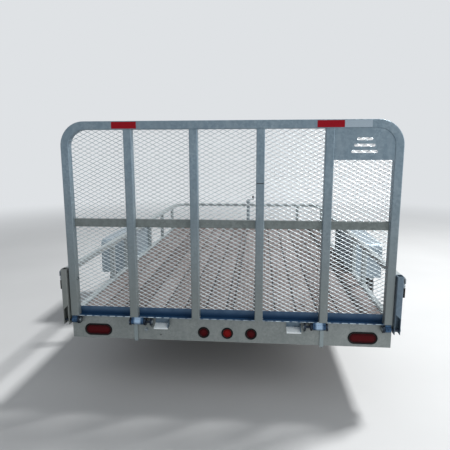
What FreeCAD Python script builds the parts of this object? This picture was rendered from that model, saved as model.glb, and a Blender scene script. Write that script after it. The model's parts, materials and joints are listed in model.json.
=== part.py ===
import FreeCAD, Part
import math
import os
import re

import Sketcher

# A single-axle landscape trailer with a mesh ramp gate, in millimetres.
# +X is right, +Y is forward to the coupler, +Z is up. The origin lies on the ground,
# midway between the rearmost point and the coupler's nose, on the centreline.

Vector = FreeCAD.Vector
Rotation = FreeCAD.Rotation

# name, value, what it sets
SIZES = (
    ("ride_height", 400, "ground to the rear channel's lower edge"),
    ("channel_height", 148, "rear channel, upright face"),
    ("channel_flange", 50, "front and rear channels, flange"),
    ("channel_wall", 5, "front and rear channels, plate"),
    ("frame_width", 2050, "channels and side beams, outside"),
    ("bed_length", 3660, "rear channel's face to front channel's face"),
    ("beam_lift", 34, "rear channel's lower edge to the side beams'"),
    ("beam_foot", 51, "side beam, inward leg"),
    ("beam_wall", 4, "side beam, plate"),
    ("cross_leg", 51, "cross member, leg under the planks"),
    ("cross_wall", 5, "cross member, plate"),
    ("cross_first", 330, "rear channel's face to the first cross member, as at the front"),
    ("cross_count", 7, "cross members"),
    ("plank_thick", 38, "deck plank, thickness"),
    ("plank_gap", 4, "between two planks"),
    ("plank_count", 14, "deck planks, without the strip in the middle"),
    ("strip_width", 48, "narrow plank in the middle"),
    ("deck_side_gap", 2, "outermost plank to the side beam"),
    ("end_gap", 3, "plank end to channel flange"),
    ("tube_size", 38, "rails and posts, side of the square tube"),
    ("tube_wall", 3, "rails and posts, wall"),
    ("tube_corner", 5, "every square tube, radius outside its corners"),
    ("sill_height", 50, "side tube beside the deck, height"),
    ("sill_rise", 9, "side tube's top above the deck"),
    ("rail_height", 327, "deck to the top rails' upper face"),
    ("rail_bend", 200, "front rail's corner radius, on its centreline"),
    ("rail_stub", 30, "front rail's straight ends behind its bends"),
    ("front_post_inset", 285, "side beam's outside to each front post"),
    ("post_first", 840, "rear channel's face to the first side post"),
    ("post_behind", 465, "axle to the side post behind it"),
    ("post_ahead", 375, "axle to the side post ahead of it"),
    ("post_last", 370, "front channel's face to the last side post"),
    ("post_depth", 50, "rear post, fore and aft"),
    ("post_wall", 4, "rear post, wall"),
    ("notch_low", 100, "rear post's open foot, height at the outer wall"),
    ("notch_high", 129, "rear post's open foot, height at the inner wall"),
    ("gate_side_gap", 7, "ramp gate to each rear post"),
    ("gate_height", 1231, "ramp gate, outside"),
    ("gate_tube", 50, "ramp gate, side of the square tube"),
    ("gate_wall", 3, "ramp gate, wall"),
    ("gate_bend", 125, "ramp gate's corner radius, on its centreline"),
    ("gate_gap", 15, "deck to the ramp gate's lower edge"),
    ("gate_setback", 35, "ramp gate's rear face behind the channel's face"),
    ("bay_pitch", 400, "uprights, spacing"),
    ("mid_drop", 596, "ramp gate's top to the mid bar's upper face"),
    ("mid_depth", 30, "mid bar, fore and aft"),
    ("foot_wall", 4, "bottom bar's angle, plate"),
    ("mesh_long", 50.8, "mesh diamond, long pitch"),
    ("mesh_short", 25.2, "mesh diamond, short pitch"),
    ("strand_width", 4, "mesh strand, width in the sheet"),
    ("strand_thick", 2.2, "mesh strand, thickness"),
    ("strand_gap", 0.1, "between the two strand directions"),
    ("mesh_edge", 7, "mesh border strip, width"),
    ("mesh_inset", 6, "ramp gate's outside to the mesh's edge"),
    ("plate_height", 181, "corner plate, height"),
    ("plate_thick", 3, "corner plate"),
    ("plate_recess", 3, "gate's rear face to the corner plate"),
    ("slot_length", 150, "corner plate's longest slot"),
    ("slot_height", 16, "corner plate's slots, height"),
    ("slot_pitch", 36, "corner plate's slots, spacing"),
    ("slot_drop", 6, "corner plate's middle to its middle slot"),
    ("hinge_reach", 28, "hinge pin behind the channel's face"),
    ("hinge_drop", 15, "hinge pin below the deck"),
    ("pin_radius", 8, "hinge pin"),
    ("pin_play", 0.3, "hinge pin in its bores, radial"),
    ("pin_tail", 4, "hinge pin beyond its outermost lug"),
    ("barrel_radius", 20, "hinge barrel"),
    ("tab_depth", 18, "hinge barrel's tab, fore and aft"),
    ("lug_radius", 24, "hinge lug's round end"),
    ("lug_step", 12, "hinge lug's foot below the top of its round end"),
    ("lug_thick", 10, "hinge lug"),
    ("lug_gap", 4, "hinge barrel's end to the lug"),
    ("inner_hinge", 576, "centreline to the inner hinge barrels"),
    ("inner_barrel", 78, "inner hinge barrel, length"),
    ("outer_barrel", 34, "outer hinge barrel, length"),
    ("brace_reach", 484, "centreline to the slanted brace lug"),
    ("brace_drop", 26, "brace lug's slant below the other lugs"),
    ("rest_centre", 420, "centreline to each gate rest"),
    ("rest_width", 90, "gate rest"),
    ("rest_depth", 60, "gate rest behind the channel's face"),
    ("rest_drop", 43, "deck to the gate rest's shelf"),
    ("rest_rise", 3, "gate rest's back above the deck"),
    ("rest_wall", 6, "gate rest, plate"),
    ("strap_half", 598, "centreline to each hinge backing strap"),
    ("strap_width", 24, "hinge backing strap"),
    ("strap_drop", 157, "deck to the hinge backing strap's end"),
    ("strap_top", 46, "deck to the hinge backing strap's start"),
    ("strap_thick", 6, "hinge backing strap"),
    ("latch_height", 262, "deck to the latch pin"),
    ("latch_radius", 7, "latch pin"),
    ("latch_reach", 18, "latch pin's bend outside the post"),
    ("grip_length", 62, "latch handle's grip"),
    ("grip_radius", 10, "latch handle's grip"),
    ("bush_radius", 12, "latch bush in the ramp gate"),
    ("bush_length", 6, "latch bush in the ramp gate"),
    ("latch_play", 1, "latch pin in the ramp gate, radial"),
    ("latch_offset", 8, "ramp gate tube's middle to the latch pin"),
    ("latch_gap", 6, "latch pin's tip to the ramp gate, drawn back"),
    ("latch_loop", 26, "latch's guide loop, fore and aft"),
    ("grip_lead", 4, "latch pin to its handle's grip"),
    ("grip_cap", 6, "grip's closed end below the handle"),
    ("oval_inset", 173, "side beam's outside to each oval lamp"),
    ("oval_width", 184, "oval grommet, across"),
    ("oval_height", 80, "oval grommet, upright"),
    ("oval_level", 58, "rear channel's lower edge to the oval lamps"),
    ("round_pitch", 152.4, "round lamps, spacing"),
    ("round_size", 76, "round grommet, diameter"),
    ("round_level", 60, "rear channel's lower edge to the round lamps"),
    ("lens_inset", 11, "grommet's rim round the lens"),
    ("grommet_proud", 5, "grommet behind the channel's face"),
    ("lens_proud", 4, "lens behind the channel's face"),
    ("lens_depth", 30, "lamp body ahead of the channel's face"),
    ("wire_reach", 434, "centreline to the wiring hole, on the left"),
    ("wire_level", 36, "rear channel's lower edge to the wiring hole"),
    ("wire_radius", 5, "wiring hole"),
    ("axle_from_rear", 1685, "rear channel's face to the axle"),
    ("tyre_radius", 345, "tyre, outside"),
    ("tyre_width", 195, "tyre"),
    ("wheel_gap", 157, "side beam's outside to the wheel's middle"),
    ("rim_radius", 190, "bead seat"),
    ("rim_width", 166, "rim, over its flanges"),
    ("rim_wall", 5, "rim"),
    ("rim_lip", 12, "rim flange above the bead seat"),
    ("rim_seat", 8, "tyre's bead inside the rim's flange"),
    ("disc_offset", 12, "wheel's middle to the disc's outer face"),
    ("disc_wall", 7, "wheel disc"),
    ("disc_flat", 84, "disc's flat middle, radius"),
    ("disc_crown", 26, "disc's raised ring ahead of its flat middle"),
    ("crown_inner", 100, "disc's raised ring, inner radius"),
    ("crown_outer", 112, "disc's raised ring, outer radius"),
    ("disc_foot", 158, "disc's slope down to the rim, outer radius"),
    ("disc_set", 14, "disc's edge behind its flat middle"),
    ("hub_radius", 42, "hub barrel"),
    ("hub_length", 96, "hub barrel"),
    ("flange_radius", 76, "hub flange"),
    ("flange_thick", 14, "hub flange"),
    ("pilot_radius", 34, "disc's centre hole"),
    ("pilot_play", 0.5, "hub or stud in the disc, radial"),
    ("cap_radius", 33, "dust cap"),
    ("cap_shoulder", 34, "dust cap, straight part ahead of the disc"),
    ("cap_length", 52, "dust cap ahead of the disc"),
    ("cap_slope", 8, "dust cap's bevel"),
    ("cap_wall", 6, "dust cap, end"),
    ("bolt_circle", 57.15, "lug nuts, radius of their circle"),
    ("nut_size", 10.5, "lug nut, circumradius"),
    ("nut_length", 18, "lug nut"),
    ("stud_radius", 6, "wheel stud"),
    ("vent_circle", 132, "disc's round vents, radius of their circle"),
    ("vent_radius", 21, "disc's round vent"),
    ("axle_radius", 30, "axle beam"),
    ("spindle_radius", 17, "axle spindle"),
    ("spindle_end", 14, "axle spindle's end inside the hub"),
    ("axle_end_gap", 2, "axle beam's end to the hub"),
    ("fender_length", 870, "fender, outside"),
    ("fender_width", 237, "fender, outside"),
    ("fender_drop", 62, "deck to the fender's ends"),
    ("fender_rise", 252, "deck to the fender's top"),
    ("fender_bend", 60, "fender's top corners, radius"),
    ("fender_wall", 3, "fender, sheet"),
    ("fender_lip", 62, "fender's outer lip"),
    ("spring_inset", 25, "side beam's outside to each spring's middle"),
    ("spring_span", 640, "spring, eye to eye"),
    ("spring_width", 38, "spring leaf"),
    ("leaf_thick", 7, "spring leaf"),
    ("leaf_count", 4, "spring leaves"),
    ("leaf_step", 75, "each leaf shorter at each end"),
    ("spring_camber", 68, "eyes above the spring's middle"),
    ("eye_radius", 15, "spring eye"),
    ("hanger_wall", 5, "spring hanger, plate"),
    ("hanger_gap", 1, "spring hanger to the spring"),
    ("hanger_nose", 4, "spring hanger round the spring eye"),
    ("hanger_tail", 8, "spring pin beyond its hanger"),
    ("clamp_width", 76, "spring clamp plate, across"),
    ("clamp_length", 110, "spring clamp plate, fore and aft"),
    ("clamp_thick", 8, "spring clamp plate"),
    ("bolt_rod", 6, "spring clamp's U-bolts, radius of the rod"),
    ("bolt_play", 0.2, "U-bolt round the axle beam"),
    ("bolt_gap", 1, "U-bolt to the spring"),
    ("bolt_tail", 14, "U-bolt below its plate"),
    ("hanger_length", 70, "spring hanger, fore and aft"),
    ("tongue_reach", 1180, "front channel's face to the coupler's nose"),
    ("coupler_reach", 90, "tongue beams' tips to the coupler's nose"),
    ("tongue_tip", 45, "centreline to each tongue beam's middle, at its tip"),
    ("tongue_inset", 205, "side beam's outside to each tongue beam's middle, at its rear end"),
    ("tongue_angle", 25, "tongue beam from the centreline, degrees"),
    ("tongue_width", 51, "tongue beam"),
    ("tongue_height", 76, "tongue beam"),
    ("tongue_wall", 4, "tongue beam"),
    ("ball_radius", 25.4, "coupler's ball"),
    ("ball_play", 0.6, "coupler's socket round the ball"),
    ("coupler_radius", 39, "coupler's head"),
    ("crown_inset", 4, "coupler's domed top inside its head"),
    ("coupler_wall", 6, "coupler's plates"),
    ("coupler_length", 250, "coupler's plates from the nose"),
    ("coupler_skirt", 44, "coupler's side flanges, down from the beams' top"),
    ("coupler_play", 0.3, "coupler's side flange to the tongue beam"),
    ("coupler_drop", 46, "coupler's head below the beams' top"),
    ("ball_rise", 20, "coupler's head, lower edge to the ball's centre"),
    ("lever_base", 30, "coupler's lever, foot"),
    ("lever_reach", 62, "coupler's lever behind its foot"),
    ("lever_rise", 32, "coupler's lever, height"),
    ("lever_thick", 9, "coupler's lever, thickness"),
    ("lever_width", 28, "coupler's lever, width"),
    ("jack_back", 330, "coupler's nose to the jack"),
    ("jack_plate", 8, "jack's plate, thickness"),
    ("jack_plate_length", 150, "jack's plate, fore and aft"),
    ("collar_wall", 8, "jack's collar on the plate"),
    ("collar_height", 14, "jack's collar above the plate"),
    ("jack_radius", 28.5, "jack's outer tube"),
    ("jack_cap", 34, "jack's gear cap, radius"),
    ("jack_cap_height", 42, "jack's gear cap"),
    ("jack_wall", 4, "jack's outer tube"),
    ("jack_leg_radius", 24, "jack's inner leg"),
    ("jack_tube_foot", 270, "ground to the jack's outer tube"),
    ("jack_tube_top", 830, "ground to the top of the jack's outer tube"),
    ("jack_travel", 250, "jack leg, up from parked"),
    ("jack_roof", 10, "jack's outer tube, closed top"),
    ("leg_gap", 6, "jack leg, drawn up, to the closed top"),
    ("foot_radius", 75, "jack's foot plate"),
    ("foot_thick", 8, "jack's foot plate"),
    ("crank_arm", 150, "jack crank, arm"),
    ("crank_turn", 60, "jack crank's arm, turned forward from the right, degrees"),
    ("crank_radius", 7, "jack crank, rod"),
    ("crank_cover", 2, "jack crank's hub above and below the rod"),
    ("crank_hub", 20, "jack crank's hub, radius"),
    ("crank_knob", 12, "jack crank's knob, radius"),
    ("crank_grip", 66, "jack crank's knob, length"),
    ("rest_web_drop", 8, "gate rest's web below its back's top"),
    ("rest_web_tip", 4, "gate rest's web behind its back, at its top"),
    ("bite", 1, "how far a piece runs into its neighbour, or a cutter past what it cuts"),
)

# Places that follow from the sizes. Each is a formula of sizes and of other places.
PLACES = {
    "half_frame": "frame_width / 2",
    "track_half": "half_frame + wheel_gap",
    "spring_half": "half_frame - spring_inset",
    "oval_half": "half_frame - oval_inset",
    "front_post_half": "half_frame - front_post_inset",
    "tongue_spread": "half_frame - tongue_inset",
    "gate_width": "frame_width - 2 * gate_side_gap",
    "deck_half": "half_frame - beam_wall - deck_side_gap",
    "plank_width": "(2 * deck_half - strip_width) / plank_count - plank_gap",
    "plank_pitch": "plank_width + plank_gap",
    "cross_pitch": "(bed_length - 2 * cross_first) / (cross_count - 1)",
    "bed_rear": "(rest_depth - bed_length - tongue_reach) / 2",
    "bed_front": "bed_rear + bed_length",
    "deck_top": "ride_height + channel_height",
    "plank_under": "deck_top - plank_thick",
    "beam_under": "ride_height + beam_lift",
    "sill_top": "deck_top + sill_rise",
    "sill_under": "sill_top - sill_height",
    "rail_top": "deck_top + rail_height",
    "rail_under": "rail_top - tube_size",
    "post_back": "bed_rear - post_depth",
    "gate_under": "deck_top + gate_gap",
    "gate_top": "gate_under + gate_height",
    "gate_back": "bed_rear - gate_setback",
    "gate_front": "gate_back + gate_tube",
    "gate_leg": "gate_width / 2 - gate_tube / 2",
    "hinge_y": "bed_rear - hinge_reach",
    "hinge_z": "deck_top - hinge_drop",
    "latch_y": "gate_back + gate_tube / 2 - latch_offset",
    "latch_z": "deck_top + latch_height",
    "axle_y": "bed_rear + axle_from_rear",
    "axle_z": "tyre_radius",
    "nose_y": "bed_front + tongue_reach",
    "tongue_front": "nose_y - coupler_reach",
    "tongue_rise": "tan(tongue_angle * 1deg)",
    "tongue_rear": "tongue_front - (tongue_spread - tongue_tip) / tongue_rise",
    "tongue_under": "beam_under - tongue_height",
    "jack_y": "nose_y - jack_back",
    "fender_rear": "axle_y - fender_length / 2",
    "fender_inner": "half_frame + tube_size",
    "spring_seat": "axle_z - axle_radius",
    "eye_z": "spring_seat - leaf_thick / 2 + spring_camber",
}

# station of each side post from the rear channel's face
POST_STATIONS = (
    "post_first",
    "axle_from_rear - post_behind",
    "axle_from_rear + post_ahead",
    "(axle_from_rear + post_ahead + bed_length - post_last) / 2",
    "bed_length - post_last",
)

# tyre's side from the bead to the tread: place across and radius
TYRE_SIDE = (
    ("rim_width / 2 - rim_seat", "rim_radius"),
    ("rim_width / 2 - rim_seat", "rim_radius + rim_lip"),
    ("tyre_width / 2 - 6", "rim_radius + 38"),
    ("tyre_width / 2", "rim_radius + 74"),
    ("tyre_width / 2 - 3", "tyre_radius - 42"),
    ("tyre_width / 2 - 12", "tyre_radius - 16"),
    ("tyre_width / 2 - 24", "tyre_radius - 4"),
    ("tyre_width / 2 - 46", "tyre_radius"),
)

# latch's guide loop: reach outside the post and height above the pin
LATCH_LOOP = (
    (0, 8), (6, 8), (18, 18), (18, 44), (6, 60), (0, 60),
    (0, 54), (4, 54), (12, 42), (12, 20), (4, 14), (0, 14),
)

SIDES = (("left", -1), ("right", 1))

doc = FreeCAD.newDocument("utility_trailer")
sheet = doc.addObject("Spreadsheet::Sheet", "dims")
for row, (alias, value, meaning) in enumerate(SIZES, 1):
    sheet.set(f"A{row}", alias)
    sheet.set(f"B{row}", str(value))
    sheet.set(f"C{row}", meaning)
    sheet.setAlias(f"B{row}", alias)
doc.recompute()

ALIASES = {alias for alias, value, meaning in SIZES}
WORD = re.compile(r"[a-z_]+[a-z]")
subparts = []


def cells(formula):
    """The formula with its places worked out and each size read from the sheet."""
    def swap(match):
        word = match.group(0)
        if word in PLACES:
            return f"({cells(PLACES[word])})"
        return f"dims.{word}" if word in ALIASES else word
    return WORD.sub(swap, str(formula))


def amount(formula):
    """The formula's value as a number."""
    result = sheet.evalExpression(cells(formula))
    return float(getattr(result, "Value", result))


def place(thing, x, y, z):
    for axis, formula in zip("xyz", (x, y, z)):
        thing.setExpression(f"Placement.Base.{axis}", cells(formula))


def subpart(thing, label):
    """Files the object as one of the trailer's sub-parts."""
    thing.Label = label
    subparts.append(thing)
    return thing


def block(name, corner, size):
    thing = doc.addObject("Part::Box", name)
    for side, formula in zip(("Length", "Width", "Height"), size):
        thing.setExpression(side, cells(formula))
    place(thing, *corner)
    return thing


TURNED = {
    "x": Rotation(Vector(0, 1, 0), 90),
    "y": Rotation(Vector(1, 0, 0), -90),
    "z": Rotation(Vector(0, 0, 1), 90),
}


def rod(name, start, along, radius, length):
    """A round bar from its start, along x, y or z."""
    thing = doc.addObject("Part::Cylinder", name)
    thing.Placement = FreeCAD.Placement(Vector(), TURNED[along])
    thing.setExpression("Radius", cells(radius))
    thing.setExpression("Height", cells(length))
    place(thing, *start)
    return thing


def fuse(name, things):
    thing = doc.addObject("Part::MultiFuse", name)
    thing.Shapes = things
    thing.Refine = True
    return thing


def cut(name, base, tools):
    thing = doc.addObject("Part::Cut", name)
    thing.Base = base
    thing.Tool = tools[0] if len(tools) == 1 else fuse(f"{name}_tools", tools)
    return thing


def together(name, things):
    """Like pieces that don't touch, as one sub-part."""
    thing = doc.addObject("Part::Compound", name)
    thing.Links = things
    return thing


def plane_of(body, role):
    return next(feature for feature in body.Origin.OriginFeatures if feature.Role == role)


def new_sketch(body, name, role):
    sketch = body.newObject("Sketcher::SketchObject", name)
    sketch.AttachmentSupport = [(plane_of(body, role), "")]
    sketch.MapMode = "FlatFace"
    return sketch


def pin_down(sketch, index, end, u, v):
    """Ties one end of a line to its place in the sketch."""
    for kind, formula in (("DistanceX", u), ("DistanceY", v)):
        row = sketch.addConstraint(Sketcher.Constraint(kind, index, end, amount(formula)))
        sketch.setExpression(f"Constraints[{row}]", cells(formula))


def draw(sketch, corners):
    """A closed outline of straight lines through the corners, each an (across, up) pair."""
    first = sketch.GeometryCount
    points = [Vector(amount(u), amount(v), 0) for u, v in corners]
    count = len(points)
    for step, point in enumerate(points):
        sketch.addGeometry(Part.LineSegment(point, points[(step + 1) % count]))
    for step, (u, v) in enumerate(corners):
        following = first + (step + 1) % count
        sketch.addConstraint(Sketcher.Constraint("Coincident", first + step, 2, following, 1))
        pin_down(sketch, first + step, 1, u, v)


def draw_arch(sketch, half, foot, top, bend, closed=True):
    """Two legs joined by a top bar over two round corners, with or without a base line."""
    shoulder = f"({top}) - ({bend})"
    inner = f"({half}) - ({bend})"
    a, low, high, r = (amount(formula) for formula in (half, foot, top, bend))
    lines = {
        0: (Vector(-a, low, 0), Vector(-a, high - r, 0)),
        2: (Vector(-a + r, high, 0), Vector(a - r, high, 0)),
        4: (Vector(a, high - r, 0), Vector(a, low, 0)),
    }
    for index in range(5):
        if index in lines:
            sketch.addGeometry(Part.LineSegment(*lines[index]))
            continue
        side = -1 if index == 1 else 1
        centre = Part.Circle(Vector(side * (a - r), high - r, 0), Vector(0, 0, 1), r)
        start = math.pi / 2 if index == 1 else 0
        sketch.addGeometry(Part.ArcOfCircle(centre, start, start + math.pi / 2))
    for ends in ((0, 2, 1, 2), (1, 1, 2, 1), (2, 2, 3, 2), (3, 1, 4, 1)):
        sketch.addConstraint(Sketcher.Constraint("Coincident", *ends))
    if closed:
        sketch.addGeometry(Part.LineSegment(lines[4][1], lines[0][0]))
        sketch.addConstraint(Sketcher.Constraint("Coincident", 4, 2, 5, 1))
        sketch.addConstraint(Sketcher.Constraint("Coincident", 5, 2, 0, 1))
    pin_down(sketch, 0, 1, f"-({half})", foot)
    pin_down(sketch, 0, 2, f"-({half})", shoulder)
    pin_down(sketch, 2, 1, f"-({inner})", top)
    pin_down(sketch, 2, 2, inner, top)
    pin_down(sketch, 4, 1, half, shoulder)
    pin_down(sketch, 4, 2, half, foot)
    for index in (1, 3):
        row = sketch.addConstraint(Sketcher.Constraint("Radius", index, r))
        sketch.setExpression(f"Constraints[{row}]", cells(bend))


def draw_rounded(sketch, low_u, low_v, high_u, high_v, bend):
    """A rectangle between two corners, with round corners."""
    first = sketch.GeometryCount
    left, low, right, high, r = (amount(formula) for formula in (low_u, low_v, high_u, high_v, bend))
    # each side's ends, anticlockwise, as (across, up) formulas
    ends = (
        ((f"({low_u}) + ({bend})", low_v), (f"({high_u}) - ({bend})", low_v)),
        ((high_u, f"({low_v}) + ({bend})"), (high_u, f"({high_v}) - ({bend})")),
        ((f"({high_u}) - ({bend})", high_v), (f"({low_u}) + ({bend})", high_v)),
        ((low_u, f"({high_v}) - ({bend})"), (low_u, f"({low_v}) + ({bend})")),
    )
    centres = ((right - r, low + r), (right - r, high - r), (left + r, high - r), (left + r, low + r))
    for number, ((start, stop), (u, v)) in enumerate(zip(ends, centres)):
        points = [Vector(amount(a), amount(b), 0) for a, b in (start, stop)]
        sketch.addGeometry(Part.LineSegment(*points))
        opening = math.pi / 2 * (number - 1)
        corner = Part.Circle(Vector(u, v, 0), Vector(0, 0, 1), r)
        sketch.addGeometry(Part.ArcOfCircle(corner, opening, opening + math.pi / 2))
    for number, (start, stop) in enumerate(ends):
        side, arc = first + 2 * number, first + 2 * number + 1
        following = first + 2 * ((number + 1) % 4)
        sketch.addConstraint(Sketcher.Constraint("Coincident", side, 2, arc, 1))
        sketch.addConstraint(Sketcher.Constraint("Coincident", arc, 2, following, 1))
        pin_down(sketch, side, 1, *start)
        pin_down(sketch, side, 2, *stop)
        row = sketch.addConstraint(Sketcher.Constraint("Radius", arc, r))
        sketch.setExpression(f"Constraints[{row}]", cells(bend))


# facing: the body's turn, and whether its pad runs against the sketch's normal
FACING = {
    "up": (Rotation(), False),
    "right": (Rotation(Vector(1, 1, 1), 120), False),
    "forward": (Rotation(Vector(1, 0, 0), 90), True),
}


def extruded(name, facing, outlines, length, at, pen=draw):
    """A body padded from its outlines: (x, y) facing up, (y, z) facing right, (x, z) forward."""
    turn, against = FACING[facing]
    body = doc.addObject("PartDesign::Body", name)
    sketch = new_sketch(body, f"{name}_outline", "XY_Plane")
    for outline in outlines:
        if pen is draw:
            draw(sketch, outline)
        else:
            pen(sketch, *outline)
    pad = body.newObject("PartDesign::Pad", f"{name}_pad")
    pad.Profile = sketch
    pad.setExpression("Length", cells(length))
    pad.Reversed = against
    body.Placement = FreeCAD.Placement(Vector(), turn)
    place(body, *at)
    return body


def tube_outlines(width, depth, wall):
    """A square tube's outer and inner outlines from its low corner, for draw_rounded."""
    outer = ("0", "0", width, depth, "tube_corner")
    inner = (wall, wall, f"({width}) - {wall}", f"({depth}) - {wall}", f"tube_corner - {wall}")
    return outer, inner


def tube(name, facing, width, depth, wall, length, at):
    return extruded(name, facing, tube_outlines(width, depth, wall), length, at, draw_rounded)


def bent_tube(name, upright, size, wall, half, height, bend, at):
    """A square tube bent round an arch that stands upright or lies flat."""
    body = doc.addObject("PartDesign::Body", name)
    path_plane, end_plane = ("XZ_Plane", "XY_Plane") if upright else ("XY_Plane", "XZ_Plane")
    path = new_sketch(body, f"{name}_path", path_plane)
    draw_arch(path, half, "0", height, bend, closed=False)
    section = new_sketch(body, f"{name}_section", end_plane)
    rounds = ((f"{size} / 2", "tube_corner"), (f"({size} / 2 - {wall})", f"tube_corner - {wall}"))
    for reach, round_off in rounds:
        low, high = f"-({half}) - {reach}", f"-({half}) + {reach}"
        draw_rounded(section, low, f"-{reach}", high, reach, round_off)
    pipe = body.newObject("PartDesign::AdditivePipe", f"{name}_pipe")
    pipe.Profile = section
    pipe.Spine = (path, [f"Edge{number}" for number in range(1, 6)])
    place(body, *at)
    return body


def turned(name, outlines, at):
    """A body turned about its own x axis from (along, radius) outlines."""
    body = doc.addObject("PartDesign::Body", name)
    sketch = new_sketch(body, f"{name}_outline", "XY_Plane")
    for outline in outlines:
        draw(sketch, outline)
    turning = body.newObject("PartDesign::Revolution", f"{name}_turning")
    turning.Profile = sketch
    turning.ReferenceAxis = (sketch, ["H_Axis"])
    turning.Angle = 360
    place(body, *at)
    return body


def flank(sign, inner, width):
    """The low x of a piece that starts inner from the centreline and is width across."""
    return inner if sign > 0 else f"-({inner}) - ({width})"


def stadium(name, centre_x, level, width, height, start, depth):
    """A solid with an oval outline, standing on the xz plane, from start forwards."""
    reach = f"(({width}) - ({height})) / 2"
    ends = [
        rod(f"{name}_end_{key}", (f"({centre_x}) {key_sign} {reach}", start, level), "y",
            f"({height}) / 2", depth)
        for key, key_sign in (("a", "-"), ("b", "+"))
    ]
    middle = block(f"{name}_middle", (f"({centre_x}) - {reach}", start, f"({level}) - ({height}) / 2"),
                   (f"2 * {reach}", depth, height))
    return fuse(name, [*ends, middle])


def lamp_places():
    """name, centre x, level, width and height of each lamp's grommet."""
    for side, sign in SIDES:
        yield (f"oval_{side}", f"{sign} * oval_half", "ride_height + oval_level", "oval_width", "oval_height")
    for column in (-1, 0, 1):
        yield (f"round_{column + 2}", f"{column} * round_pitch", "ride_height + round_level",
               "round_size", "round_size")


def lamp_solid(name, centre_x, level, width, height, start, depth):
    """A lamp's outline as a solid: oval, or round where it is as wide as it is high."""
    if width == height:
        return rod(name, (centre_x, start, level), "y", f"({height}) / 2", depth)
    return stadium(name, centre_x, level, width, height, start, depth)


def make_channels():
    """The rear channel with its lamp holes, and the front channel."""
    rear_section = (
        ("0", "0"), ("channel_flange", "0"), ("channel_flange", "channel_wall"),
        ("channel_wall", "channel_wall"), ("channel_wall", "channel_height - channel_wall"),
        ("channel_flange", "channel_height - channel_wall"), ("channel_flange", "channel_height"),
        ("0", "channel_height"),
    )
    blank = extruded("rear_channel_blank", "right", [rear_section], "frame_width",
                     ("-half_frame", "bed_rear", "ride_height"))
    holes = [
        lamp_solid(f"hole_{name}", x, level, f"{width} - lens_inset",
                   f"{height} - lens_inset", "bed_rear - bite", "channel_wall + 2 * bite")
        for name, x, level, width, height in lamp_places()
    ]
    holes.append(rod("wiring_hole", ("-wire_reach", "bed_rear - bite", "ride_height + wire_level"), "y",
                     "wire_radius", "channel_wall + 2 * bite"))
    subpart(cut("rear_channel", blank, holes), "rear_channel")
    rise = "channel_height - beam_lift"
    front_section = (
        ("0", "0"), ("channel_flange", "0"), ("channel_flange", rise), ("0", rise),
        ("0", f"{rise} - channel_wall"), ("channel_flange - channel_wall", f"{rise} - channel_wall"),
        ("channel_flange - channel_wall", "channel_wall"), ("0", "channel_wall"),
    )
    front = extruded("front_channel", "right", [front_section], "frame_width",
                     ("-half_frame", "bed_front - channel_flange", "beam_under"))
    subpart(front, "front_channel")


def make_beams():
    """An angle along each side, and the square tube outboard of it."""
    for side, sign in SIDES:
        leg = "channel_height - beam_lift"
        angle = [(f"{-sign} * ({u})", v) for u, v in (
            ("0", "0"), ("beam_foot", "0"), ("beam_foot", "beam_wall"),
            ("beam_wall", "beam_wall"), ("beam_wall", leg), ("0", leg),
        )]
        beam = extruded(f"side_beam_{side}", "forward", [angle], "bed_length - 2 * channel_flange",
                        (f"{sign} * half_frame", "bed_rear + channel_flange", "beam_under"))
        subpart(beam, f"side_beam_{side}")
        sill = tube(f"side_tube_{side}", "forward", "tube_size", "sill_height", "tube_wall",
                    "bed_length", (flank(sign, "half_frame", "tube_size"), "bed_rear", "sill_under"))
        subpart(sill, f"side_tube_{side}")


def make_cross_members():
    """Angles between the side beams, each with one leg under the planks."""
    depth = "plank_under - beam_under - beam_wall"
    section = (
        ("0", "0"), ("cross_wall", "0"), ("cross_wall", f"{depth} - cross_wall"),
        ("cross_leg", f"{depth} - cross_wall"), ("cross_leg", depth), ("0", depth),
    )
    members = [
        extruded(f"cross_member_{number + 1}", "right", [section], "frame_width - 2 * beam_wall",
                 ("-half_frame + beam_wall", f"bed_rear + cross_first + {number} * cross_pitch",
                  "beam_under + beam_wall"))
        for number in range(int(amount("cross_count")))
    ]
    subpart(together("cross_members", members), "cross_members")


def make_deck():
    """Planks laid lengthwise between the side beams, with a narrow one in the middle."""
    count = int(amount("plank_count"))
    start, length = "bed_rear + channel_flange + end_gap", "bed_length - 2 * channel_flange - 2 * end_gap"
    planks = []
    for number in range(count):
        low_x = f"-deck_half + {number} * plank_pitch"
        if number >= count // 2:
            low_x = f"{low_x} + strip_width + plank_gap"
        planks.append(block(f"plank_{number + 1}", (low_x, start, "plank_under"),
                            ("plank_width", length, "plank_thick")))
    planks.append(block("plank_strip", ("-strip_width / 2", start, "plank_under"),
                        ("strip_width", length, "plank_thick")))
    subpart(together("deck_planks", planks), "deck_planks")


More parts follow.
